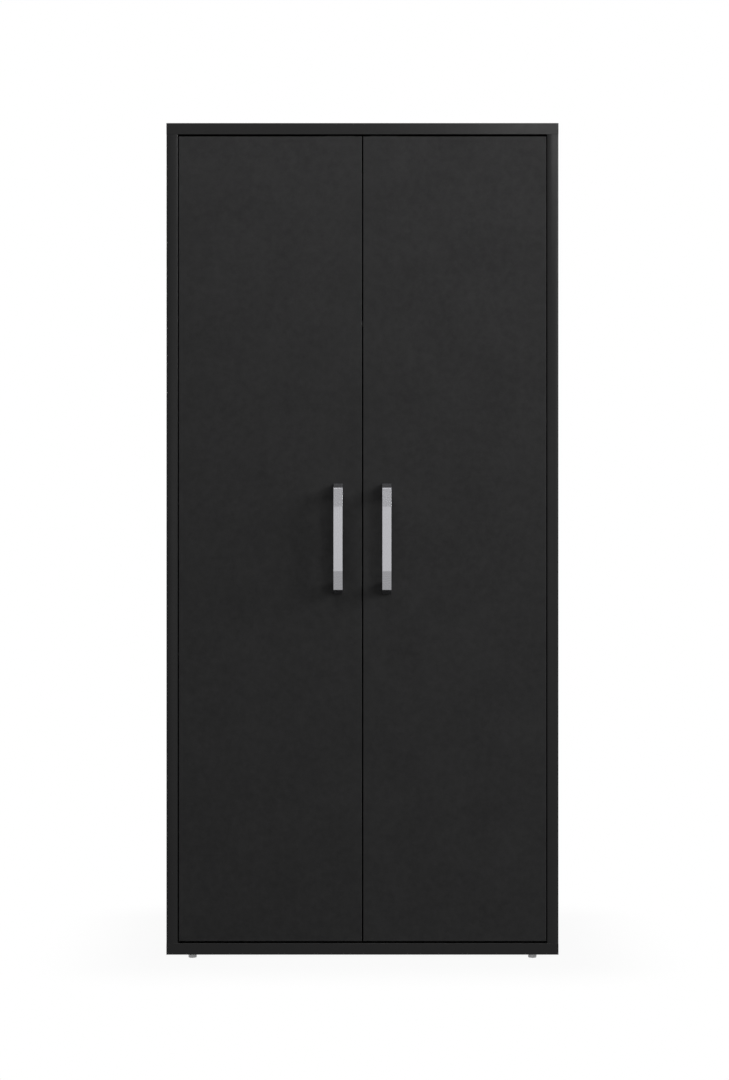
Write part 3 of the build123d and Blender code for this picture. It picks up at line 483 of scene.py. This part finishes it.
def quads(rows, columns, wrap_rows=False):
    """The four corners of each cell of a tube of points. A cell goes from a row to the next and
    from a column to the next, the last column to the first; wrapped rows do the same."""
    r, c = np.meshgrid(np.arange(rows if wrap_rows else rows - 1), np.arange(columns), indexing="ij")
    below, beside = (r + 1) % rows, (c + 1) % columns
    corners = (r * columns + c, r * columns + beside, below * columns + beside, below * columns + c)
    return np.stack(corners, axis=-1).reshape(-1, 4)


def closed_ends(rings):
    """Close both ends of a tube: a ring drawn together to its middle goes before the first ring and
    after the last."""
    first, last = (np.broadcast_to(end.mean(axis=0), end.shape)[None] for end in (rings[0], rings[-1]))
    return np.concatenate([first, rings, last])


def piece(name, grids, slot, body, replaced=(), wrap_rows=False, dress=None):
    """Make a finished piece from one grid, or from several of one size: merged, normals outwards,
    smooth except past the sharp angle. It wears the finish of its slot, or another that is named."""
    rows, columns = grids.shape[-3:-1]
    starts = np.arange(grids.size // (3 * rows * columns)) * rows * columns
    faces = (quads(rows, columns, wrap_rows) + starts[:, None, None]).reshape(-1, 4)
    mesh = bpy.data.meshes.new(name)
    mesh.from_pydata(grids.reshape(-1, 3).tolist(), [], faces.tolist())
    shell = bmesh.new()
    shell.from_mesh(mesh)
    bmesh.ops.remove_doubles(shell, verts=shell.verts, dist=merge_distance)
    bmesh.ops.recalc_face_normals(shell, faces=shell.faces)
    shell.to_mesh(mesh)
    shell.free()
    mesh.polygons.foreach_set("use_smooth", np.ones(len(mesh.polygons), bool))
    mesh.set_sharp_from_angle(angle=sharp_angle)
    mesh.materials.append(finishes[dress or slot])
    made = bpy.data.objects.new(name, mesh)
    bpy.context.scene.collection.objects.link(made)
    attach(made, body)
    if replaced:
        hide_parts(*replaced)
    print(f"{name}: {len(mesh.polygons)} faces on {body}")


print("quads in a tube of 3 rings of 8 points:", len(quads(3, 8)))

# %% [markdown]
# ## Soft corners
#
# A cast bar has no sharp corner, along its length or across it. A Bevel modifier could soften both
# once the right edges were picked. Here the lines are soft from the start: a corner on the way is a
# parabola, and a corner of the section is an arc.


# %% Soft corners
def softened(corners, cuts, steps=7, hold=0.3 * MM):
    """A line of straight runs with softened corners. Each corner becomes a parabola that leaves the
    run one cut before the corner and joins the next run one cut after it:
    p(t) = (1 - t)^2 a + 2 t (1 - t) corner + t^2 b. A held point before and after keeps runs flat."""
    at, cuts = corners[1:-1, None], np.asarray(cuts)[:, None, None]
    before, after = corners[:-2, None] - at, corners[2:, None] - at
    before = before / np.linalg.norm(before, axis=-1, keepdims=True)
    after = after / np.linalg.norm(after, axis=-1, keepdims=True)
    t = np.linspace(0, 1, steps)[None, :, None]
    bend = at + cuts * ((1 - t) ** 2 * before + t**2 * after)
    held = (at + (cuts + hold) * before, bend, at + (cuts + hold) * after)
    return np.concatenate([corners[:1], np.concatenate(held, axis=1).reshape(-1, 2), corners[-1:]])


def round_corners(half_high, half_wide, radius, steps=6, hold=0.15 * MM):
    """A rectangle with round corners, one for each half height given: the corner's centre is a
    radius inside the rectangle, and the arc is radius times cosine and sine about it."""
    turn = np.linspace(0, np.pi / 2, steps)
    arc = np.stack([radius * np.cos(turn), radius * np.sin(turn)], axis=-1)
    arc = np.concatenate([[[radius, -hold]], arc, [[-hold, radius]]])
    centre = np.stack([half_high - radius, np.full_like(half_high, half_wide - radius)], axis=-1)
    first = centre[:, None] + arc
    second = (centre[:, None] + arc[::-1]) * (-1, 1)
    return np.concatenate([first, second, -first, -second], axis=1)


print("points round a bar:", round_corners(np.ones(1), 1.0, 0.2).shape[1])

# %% [markdown]
# ## The bow handles
#
# Each handle is a bar that rises steeply from the door, slopes gently, and runs flat in the
# middle. It could be a curve with a bevel, but its section changes: long at the feet, thin in the
# middle. So it is a profile carried along a path, where the path has two lines, the outside and
# the inside of the bow, and the profile is a rectangle with round corners stretched between them.

# %% Bow handles
end_run, slope_run, end_drop = 10 * MM, 41.5 * MM, 8 * MM
bar_thickness, leg_length, arris = 9 * MM, 27 * MM, 0.2 * MM
shoulder_cut, slope_cut, armpit_cut = 1.2 * MM, 1.0 * MM, 3.8 * MM


def bow(low, high):
    """The outside and the inside of the bow as lines in depth and height. The upper halves are
    written down corner by corner, and the lower halves are their mirror images."""
    half, middle = (high.z - low.z) / 2, (high.z + low.z) / 2
    flat, foot = half - end_run - slope_run, half - leg_length
    shoulder = foot - end_run / 2
    bar_y = low.y + bar_thickness
    drop = end_drop * (shoulder - flat) / slope_run
    outer = np.array([(high.y, half), (low.y + end_drop, half - end_run), (low.y, flat)])
    inner = np.array([(high.y, foot), (bar_y + drop, shoulder), (bar_y, flat)])
    outer, inner = (np.concatenate([line, line[::-1] * (1, -1)]) + (0, middle)
                    for line in (outer, inner))
    return (softened(outer, [shoulder_cut, slope_cut, slope_cut, shoulder_cut]),
            softened(inner, [armpit_cut, slope_cut, slope_cut, armpit_cut]))


for side in ("left", "right"):
    low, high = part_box(f"{side}_handle")
    outer, inner = bow(low, high)
    centre, reach = (outer + inner) / 2, (outer - inner) / 2
    half_thick = np.linalg.norm(reach, axis=-1)
    profile = round_corners(half_thick, (high.x - low.x) / 2, arris)
    across = reach / half_thick[:, None]
    depth_height = centre[:, None] + profile[..., :1] * across[:, None]
    sideways = profile[..., 1:] + (low.x + high.x) / 2
    rings = closed_ends(np.concatenate([sideways, depth_height], axis=-1))
    piece(f"{side}_bow_handle", rings, "satin_metal", f"{side}_door", [f"{side}_handle"])

# %% [markdown]
# ## Edge bands
#
# All four front edges of the carcass are lipped. On the side panels the lipping is crowned by a
# millimetre and a half, which makes it run from dark to light across its width, and on the top and
# bottom it is flat. All of it is rounded at the corners. The CAD edge has only a few flats, so a
# smooth band is laid on it, a few hundredths of a millimetre proud in front and sunk a hundredth at
# the sides, where it meets the faces in a hair line.

# %% Edge bands
X, Y, Z = range(3)
edge_round, proud, sunk, tuck = 0.5 * MM, 0.03 * MM, 0.01 * MM, 0.3 * MM


def crowned_profile(half, crown, depth, steps=12):
    """The band's section from one side to the other: a parabola y = crown (x / half)^2 over the
    front, an arc of the edge's rounding from the parabola's last slope to the side, then the back."""
    last = half - edge_round * (1 - 2 * crown / half)
    x = np.linspace(0, last, steps)
    front = np.stack([x, crown * (x / half) ** 2], axis=-1)
    slope = np.arctan(2 * crown * last / half**2)
    turn = np.linspace(slope, np.pi / 2, steps)[1:]
    centre = front[-1] + edge_round * np.array([-np.sin(slope), np.cos(slope)])
    corner = centre + edge_round * np.stack([np.sin(turn), -np.cos(turn)], axis=-1)
    right = np.concatenate([front, corner, [[half - tuck, depth]]])
    return np.concatenate([right[:0:-1] * (-1, 1), right])


def edge_band(name, board, across, along, crown, depth, trim):
    """Lay a band on a board's front edge: its section lies across the edge, and is carried along it
    from end to end, less a trim."""
    low, high = np.array(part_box(board))
    section = crowned_profile((high[across] - low[across]) / 2 - sunk, crown, depth)
    rings = np.empty((2, len(section), 3))
    rings[..., across] = section[:, 0] + (low[across] + high[across]) / 2
    rings[..., Y] = section[:, 1] + low[Y] - proud
    rings[..., along] = [[low[along] + trim], [high[along] - trim]]
    piece(name, closed_ends(rings), "black_board", "carcass", dress="edge_lipping")


for side in ("left", "right"):
    edge_band(f"{side}_edge_band", f"{side}_side_panel", X, Z, crown=1.5 * MM, depth=3.2 * MM,
              trim=0.05 * MM)
for side in ("top", "bottom"):
    edge_band(f"{side}_edge_band", f"{side}_panel", Z, X, crown=0.02 * MM, depth=2.5 * MM,
              trim=0.01 * MM)

# %% [markdown]
# ## The separate solids of a shared node
#
# Screws of one kind share a CAD node. To set a better screw in each place, the lesson asks the CAD
# mesh where its separate solids are: every triangle hands its lowest label to its three points
# until nothing changes, and each label that is left is one solid with a box of its own.

# %% Separate solids
weld = 0.01 * MM


def solids(node):
    """The lowest and highest corner of each separate solid in a CAD node, as an array (n, 2, 3)."""
    mesh = nodes[node].data
    spots = np.empty(len(mesh.vertices) * 3)
    mesh.vertices.foreach_get("co", spots)
    spots = spots.reshape(-1, 3)
    _, same = np.unique(np.round(spots / weld), axis=0, return_inverse=True)
    corners = np.empty(len(mesh.loops), int)
    mesh.loops.foreach_get("vertex_index", corners)
    corners = same.reshape(-1)[corners].reshape(-1, 3)
    label, changed = np.arange(corners.max() + 1), True
    while changed:
        spread = label.copy()
        np.minimum.at(spread, corners, label[corners].min(axis=1, keepdims=True))
        spread = spread[spread]
        changed = not np.array_equal(spread, label)
        label = spread
    own = label[same.reshape(-1)]
    return np.array([(spots[own == k].min(axis=0), spots[own == k].max(axis=0)) for k in np.unique(own)])


print("plate screws found:", len(solids("plate_screws")))

# %% [markdown]
# ## Turning and setting down
#
# Screws, nails, pins, cups and feet are all turned pieces. Blender's Spin tool could turn a
# profile, but as arrays it is one line: every point of the profile is multiplied by the cosine and
# the sine of every angle. The finished grid is then tipped to look the right way, and a copy is set
# down on each spot.


# %% Turning and setting down
def turned(profile, steps):
    """A surface of revolution about the third axis: a point (r, h) of the profile becomes the ring
    (r cos a, r sin a, h) for the angles a all round."""
    angle = np.linspace(0, 2 * np.pi, steps, endpoint=False)
    radius, height = profile[:, :1], profile[:, 1:]
    return np.stack([radius * np.cos(angle), radius * np.sin(angle), height + 0 * angle], axis=-1)


def seated(grid, outward, spots):
    """Turn a grid so that its third axis looks outward, and set a copy down on every spot."""
    third = np.array(outward, float)
    first = np.array([0.0, 1, 0]) if third[X] else np.array([1.0, 0, 0])
    turn = np.stack([first, np.cross(third, first), third])
    return grid @ turn + spots[:, None, None]


print("a turned profile of 5 points:", turned(np.ones((5, 2)), 24).shape)

# %% [markdown]
# ## The shape of a screw
#
# A pan-head screw is a turned piece: a pointed shank, a flat seat and a domed head. The cross in
# the head isn't round, so it is pressed into the turned surface afterwards: points of the dome that
# fall inside the cross are moved down by its depth. Nails are the same without a cross.

# %% The shape of a screw
rim_ease, dome_share, cross_depth = 0.1 * MM, 0.45, 0.5
cross_long, cross_wide, long_border, wide_border = 0.62, 0.16, 0.1, 0.06
tip_length = 2.5


def within(value, limit, border):
    """1 where a value is below a limit, falling smoothly to 0 over a soft border: t^2 (3 - 2 t),
    where t runs from 0 to 1 across the border."""
    t = np.clip((limit + border - np.abs(value)) / (2 * border), 0, 1)
    return t * t * (3 - 2 * t)


def screw(radius, head, shank, length, cross, steps):
    """A screw whose head tops out at height zero. The dome is a share of the head's height and
    drops as the square of the distance from the axis, h = -dome (r / radius)^2. The cross is sunk
    into it by a share of the head's height."""
    dome = dome_share * head
    stem = [(0, -length), (shank, -length + tip_length * shank), (shank, -head),
            (radius - rim_ease, -head), (radius, -head + rim_ease), (radius, -dome - 2 * rim_ease)]
    dome_rows = 12 if cross else 5
    r = np.linspace(radius - 0.8 * rim_ease, 0, dome_rows)
    top = np.stack([r, -dome * (r / radius) ** 2], axis=-1)
    grid = turned(np.concatenate([stem, top]), steps)
    if cross:
        x, y = np.moveaxis(grid[..., :2] / radius, -1, 0)
        sunken = np.maximum(
            within(x, cross_long, long_border) * within(y, cross_wide, wide_border),
            within(y, cross_long, long_border) * within(x, cross_wide, wide_border))
        grid[len(stem):, :, Z] -= cross_depth * head * sunken[len(stem):]
    return grid


sample = screw(3.5 * MM, 2 * MM, 1.75 * MM, 16 * MM, True, 32)
print("lowest point of a sample screw in mm:", round(sample[..., Z].min() / MM, 1))

# %% [markdown]
# ## Screws and nails
#
# The box of a CAD screw gives the new one its place, its length and the width of its head. Which
# way the head looks follows from where it is driven: towards the middle of the wardrobe on the side
# panels, down under the boards, and to the back on the doors and on the back panel.

# %% Screws and nails
pan_head, flush_head, handle_head = 2.0 * MM, 0.6 * MM, 2.4 * MM
wood_shank, handle_shank, nail = 1.75 * MM, 1.95 * MM, 0.8 * MM


def fasteners(node, axis, sign, head, shank, body, cross=True, steps=32):
    """New screws for a shared CAD node. The heads look along an axis: to its plus side, its minus
    side, or, for sign 0, towards the middle of the wardrobe."""
    boxes = solids(node)
    middle = boxes.mean(axis=1)
    signs = np.full(len(boxes), sign) if sign else -np.sign(middle[:, axis])
    span = boxes[0, 1] - boxes[0, 0]
    grid = screw(np.delete(span, axis).min() / 2, head, shank, span[axis], cross, steps)
    sets = []
    for way in np.unique(signs):
        spots = middle[signs == way]
        spots[:, axis] += way * span[axis] / 2
        sets.append(seated(grid, way * np.eye(3)[axis], spots))
    piece(f"{node}_turned", np.concatenate(sets), "zinc_screw", body, [node])


for node in ("plate_screws", "socket_screws", "arm_screws"):
    fasteners(node, X, 0, pan_head, wood_shank, "carcass")
for node in ("foot_screws", "catch_screws", "bracket_screws"):
    fasteners(node, Z, -1, pan_head, wood_shank, "carcass")
for side in ("left", "right"):
    fasteners(f"{side}_cup_screws", Y, 1, pan_head, wood_shank, f"{side}_door")
    fasteners(f"{side}_handle_screws", Y, 1, handle_head, handle_shank, f"{side}_door")
    fasteners(f"{side}_strike_screw", Y, 1, flush_head, wood_shank, f"{side}_door")
fasteners("back_nails", Y, 1, nail, nail, "carcass", cross=False, steps=12)

# %% [markdown]
# ## Foot glides
#
# Under each corner sits a small turned glide of hard plastic with a rounded lower edge and a recess
# for its screw. The profile is a closed line in radius and height, so the turned surface closes on
# itself like a ring.

# %% Foot glides
glide_radius, glide_height, sole_round = 9.5 * MM, 12 * MM, 1.5 * MM
recess_radius, recess_depth, screw_bore = 4.5 * MM, 5 * MM, 1.85 * MM
lip_ease, lip_hold, side_hold = 0.35 * MM, 0.2 * MM, 0.3 * MM


def glide_profile():
    """The glide's closed section: bore, top, rim, sole with a rounded edge, recess and back. The
    rounded edge is a quarter circle, its centre plus the sole's rounding times cosine and sine."""
    turn = np.linspace(0, np.pi / 2, 9)
    arc = np.stack([np.cos(turn) - 1, 1 - np.sin(turn)], axis=-1)
    edge = (glide_radius, 0) + sole_round * arc
    upper = [(screw_bore, glide_height), (glide_radius - lip_ease - lip_hold, glide_height),
             (glide_radius - lip_ease, glide_height),
             (glide_radius - lip_hold / 2, glide_height - lip_hold / 2),
             (glide_radius, glide_height - lip_ease), (glide_radius, sole_round + side_hold)]
    under = [(recess_radius + lip_ease + lip_hold, 0), (recess_radius + lip_ease, 0),
             (recess_radius, lip_ease), (recess_radius, lip_ease + lip_hold),
             (recess_radius, recess_depth), (screw_bore, recess_depth)]
    return np.concatenate([upper, edge, under])


glide = turned(glide_profile(), 56)
for corner in ("front_left", "front_right", "rear_left", "rear_right"):
    low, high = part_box(f"{corner}_foot")
    grid = glide + ((low.x + high.x) / 2, (low.y + high.y) / 2, 0)
    piece(f"{corner}_glide", grid, "grey_plastic", "carcass", [f"{corner}_foot"], wrap_rows=True)

# %% [markdown]
# ## The clothes rail
#
# The rail is a drawn oval tube. Its section is two half circles joined by straight flanks, and its
# skin runs along the outside, turns over the end of the wall and comes back along the inside, so
# the grid closes in both directions.

# %% Clothes rail
rail_wall, rail_ease = 1.2 * MM, 0.3 * MM


def oval(high, wide, steps=25):
    """Two half circles of half the width, set apart by the rest of the height."""
    turn = np.linspace(0, np.pi, steps)
    half = np.stack([wide / 2 * np.cos(turn), wide / 2 * np.sin(turn) + (high - wide) / 2], axis=-1)
    return np.concatenate([half, -half])


low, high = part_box("clothes_rail")
inset = np.array([0, 0, 0.3, 1, 1, 0.3]) * rail_wall
along = np.array([low.x + rail_ease, high.x - rail_ease, high.x, high.x, low.x, low.x])
rings = np.stack([np.insert(oval(high.z - low.z - 2 * t, high.y - low.y - 2 * t), 0, x, axis=1)
                  for t, x in zip(inset, along)])
rings = rings + (0, (low.y + high.y) / 2, (low.z + high.z) / 2)
piece("oval_clothes_rail", rings, "chrome_rail", "carcass", ["clothes_rail"], wrap_rows=True)

# %% [markdown]
# ## Hinge cups
#
# A hinge cup is a deep-drawn bowl with a flat flange that widens into two wings for its screws. It
# is turned about the cup's axis, except that the flange reaches out to a different radius at each
# angle: as far as the wing's outline lies from the cup's middle in that direction.

# %% The shape of a hinge cup
cup_radius, cup_wall, flange, rim = 17.4 * MM, 1.0 * MM, 1.0 * MM, 19.5 * MM
wing_aside, wing_half_long, wing_half_wide = 6.0 * MM, 31 * MM, 9 * MM
flange_ease, mouth_round, small_round, large_round = 0.25 * MM, 1.0 * MM, 0.4 * MM, 1.5 * MM


def flange_reach(angle):
    """How far the flange reaches at each angle: the farther of the round rim and the wing, an oval
    whose middle lies aside. A ray leaves the oval through a flank or through an end circle."""
    c, s = np.cos(angle), np.sin(angle)
    with np.errstate(divide="ignore"):
        flank = (wing_aside + np.where(c > 0, wing_half_wide, -wing_half_wide)) / c
    end = wing_half_long - wing_half_wide
    near = wing_aside * c + np.sign(s) * end * s
    root = near**2 - wing_aside**2 - end**2 + wing_half_wide**2
    cap = near + np.sqrt(np.maximum(root, 0))
    return np.maximum(rim, np.where(np.abs(flank * s) <= end, flank, cap))


def hinge_cup(depth, steps=96):
    """The bowl and its flange in one skin: outside of the bowl, under the flange, round its edge,
    over its top, and down the inside. A row is (radius, height, 1 if the radius counts from the
    flange's reach), and heights are from the door's face, the bowl going down."""
    angle = np.linspace(0, 2 * np.pi, steps, endpoint=False)
    inner, floor = cup_radius - cup_wall, -depth + cup_wall
    outside = [(0, -depth, 0), (cup_radius - large_round, -depth, 0),
               (cup_radius - small_round, -depth + small_round, 0),
               (cup_radius, -depth + large_round, 0), (cup_radius, 0, 0)]
    edge = [(-flange_ease, 0, 1), (0, flange_ease, 1), (0, flange - flange_ease, 1),
            (-flange_ease, flange, 1), (-flange_ease - 0.3 * mouth_round, flange, 1)]
    mouth = [(cup_radius + 0.6 * mouth_round, flange, 0), (cup_radius + 0.3 * mouth_round, flange, 0),
             (inner + 0.6 * mouth_round, flange - 0.1 * mouth_round, 0),
             (inner + 0.2 * mouth_round, flange - 0.4 * mouth_round, 0),
             (inner, flange - mouth_round, 0)]
    inside = [(inner, floor + large_round, 0), (inner - small_round, floor + small_round, 0),
              (inner - large_round, floor, 0), (0, floor, 0)]
    fixed, height, on_flange = np.array(outside + edge + mouth + inside)[..., None].swapaxes(0, 1)
    radius = fixed + on_flange * flange_reach(angle)
    return np.stack([radius * np.cos(angle), radius * np.sin(angle), height + 0 * radius], axis=-1)


print("flange reaches to mm:", round(flange_reach(np.linspace(0, np.pi, 181)).max() / MM, 1))

# %% [markdown]
# ## Setting the cups
#
# The four cups of a door are pressed into its inner face, wings towards the middle of the door. The
# right door's cups are the left ones mirrored, and the mesh helper turns their normals out again.

# %% Hinge cups
for side, mirror in (("left", 1), ("right", -1)):
    boxes = solids(f"{side}_hinge_cups")
    grid = hinge_cup(boxes[0, 1, Y] - boxes[0, 0, Y] - flange)
    local = grid[..., [X, Z, Y]] * (mirror, 1, 1)
    rim_x = boxes[:, 0, X] + rim if mirror > 0 else boxes[:, 1, X] - rim
    spots = np.stack([rim_x, boxes[:, 1, Y] - flange, boxes[:, :, Z].mean(axis=1)], axis=-1)
    piece(f"{side}_drawn_cups", local + spots[:, None, None], "hinge_steel", f"{side}_door",
          [f"{side}_hinge_cups"])

# %% [markdown]
# ## Hinge pins
#
# A pin is a short turned rod with a small chamfer at both ends, and it stands upright in the cup.
# Its box gives the radius and the length.

# %% Hinge pins
pin_chamfer = 0.4 * MM

for side in ("left", "right"):
    boxes = solids(f"{side}_hinge_pins")
    radius, _, half = (boxes[0, 1] - boxes[0, 0]) / 2
    neck, shoulder = radius - pin_chamfer, half - pin_chamfer
    profile = np.array([(0, -half), (neck, -half), (radius, -shoulder), (radius, shoulder),
                        (neck, half), (0, half)])
    grids = seated(turned(profile, 24), (0, 0, 1), boxes.mean(axis=1))
    piece(f"{side}_turned_pins", grids, "hinge_steel", f"{side}_door", [f"{side}_hinge_pins"])

# %% [markdown]
# ## Floor
#
# The floor is a plain pale sheet. To a ray from the camera, or one that metal or glass sends on, it
# looks white at strength one. To the light that bounces about it is an ordinary dull floor, so it
# adds no glare. Close to the wardrobe a small share of that dull floor shows through, and this keeps
# the shadow. How close follows from the distance to the wardrobe's box: what is left of a place,
# folded to its positive side, after half the box is taken off.


# %% Floor
def seen_directly(tree):
    """1 for a ray that shows the background itself: from the camera, or mirrored, or through glass."""
    path = add(tree, "ShaderNodeLightPath").outputs
    mirrored = calc(tree, "MAXIMUM", path["Is Camera Ray"], path["Is Glossy Ray"])
    return calc(tree, "MAXIMUM", mirrored, path["Is Transmission Ray"])


reach, shadow_reach, white_below = 12.0, 0.32, 0.945
floor_mesh = bpy.data.meshes.new("floor")
corners = [(-reach, -reach, 0), (reach, -reach, 0), (reach, reach, 0), (-reach, reach, 0)]
floor_mesh.from_pydata(corners, [], [(0, 1, 2, 3)])
floor = bpy.data.objects.new("floor", floor_mesh)
bpy.context.scene.collection.objects.link(floor)
floor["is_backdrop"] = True

pale, tree, shader, place = finish("pale_floor", Roughness=0.9, Specular_IOR_Level=0.0,
                                   Base_Color=(0.16, 0.16, 0.16, 1))
half_box = [min(-cad_low[axis], cad_high[axis]) for axis in (X, Y)] + [0]
folded = add(tree, "ShaderNodeVectorMath", {0: place}, operation="ABSOLUTE").outputs[0]
past = add(tree, "ShaderNodeVectorMath", {0: folded, 1: half_box}, operation="SUBTRACT").outputs[0]
clear = add(tree, "ShaderNodeVectorMath", {0: past, 1: (0, 0, 0)}, operation="MAXIMUM").outputs[0]
far = add(tree, "ShaderNodeVectorMath", {0: clear}, operation="LENGTH").outputs["Value"]
white = level(tree, far, low=white_below, stop=shadow_reach, interpolation_type="SMOOTHSTEP")
share = calc(tree, "MULTIPLY", seen_directly(tree), white)
glow = add(tree, "ShaderNodeEmission", {"Color": (1, 1, 1, 1), "Strength": 1.0})
lit = add(tree, "ShaderNodeMixShader", {0: share, 1: shader.outputs[0], 2: glow.outputs[0]})
tree.links.new(lit.outputs[0], tree.nodes["Material Output"].inputs["Surface"])
floor_mesh.materials.append(pale)
print("floor reach in m:", reach)

# %% [markdown]
# ## Background
#
# The background is white in the same way: white to a ray that shows it, and a weak soft sky to the
# light that bounces about. A sky that is white to every ray would do it too, but it would light the
# wardrobe from all sides and wash out the black.

# %% Background
sky_light = 0.12

sky = bpy.data.worlds.new("sky")
sky.use_nodes = True
bpy.context.scene.world = sky
tree = sky.node_tree
background = tree.nodes["Background"].inputs
background["Color"].default_value = (1, 1, 1, 1)
tree.links.new(level(tree, seen_directly(tree), low=sky_light), background["Strength"])
print("sky light:", sky_light)

# %% [markdown]
# ## Lamps
#
# The main light rakes the doors from far to the right: the shadows of the handles run far to the
# left and a little down. A key light in front of it models the pieces that stand out, and a soft
# light from above fills the doors, more at the top than at the bottom. A weak wide lamp behind the
# camera is what the flat middles of the handles mirror. A narrow lamp, up and to the right, is
# mirrored in the lipping of the top edge, which so grows lighter from left to right. The last lamp
# only lights the back, for views from behind.


# %% Lamps
def softbox(name, place, aim, size, watts):
    """A rectangular area lamp at a place, turned to look at a point."""
    data = bpy.data.lights.new(name, "AREA")
    data.shape = "RECTANGLE"
    data.size, data.size_y = size
    data.energy = watts
    lamp = bpy.data.objects.new(name, data)
    lamp.location = place
    toward = Vector(aim) - Vector(place)
    lamp.rotation_euler = toward.to_track_quat("-Z", "Y").to_euler()
    bpy.context.scene.collection.objects.link(lamp)
    print(f"{name}: {watts} W")


softbox("key", place=(3.6, -3.9, 2.6), aim=(0, front_y, 1.0), size=(1.6, 1.6), watts=108)
softbox("rake", place=(7.5, -1.85, 3.8), aim=(0, front_y, 1.0), size=(2.7, 2.7), watts=1030)
softbox("top_fill", place=(-0.45, -1.3, 3.2), aim=(0, front_y, 1.2), size=(1.6, 0.9), watts=26)
softbox("mirror_fill", place=(0, -6.4, 1.0), aim=(0, front_y, 0.94), size=(3.0, 1.4), watts=12.5)
softbox("edge_glow", place=(0.68, -1.85, 2.2), aim=(0, front_y, 1.6), size=(0.72, 0.2), watts=4.8)
softbox("rear_fill", place=(-3.8, 4.2, 2.6), aim=(0, 0, 1.0), size=(2.4, 2.0), watts=300)

# %% [markdown]
# ## Closing
#
# The new pieces are meant to stay inside the CAD's box. The CAD box and the box of what now shows are
# gathered side by side, and the visual box is printed here as the CAD box was at the start, so that
# anyone can compare them.

# %% Close
new_low, new_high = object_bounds()
boxes = {"cad": [list(cad_low), list(cad_high)], "visual": [list(new_low), list(new_high)]}
print("visual box in mm:", np.round((np.array(new_high) - np.array(new_low)) / MM, 1))
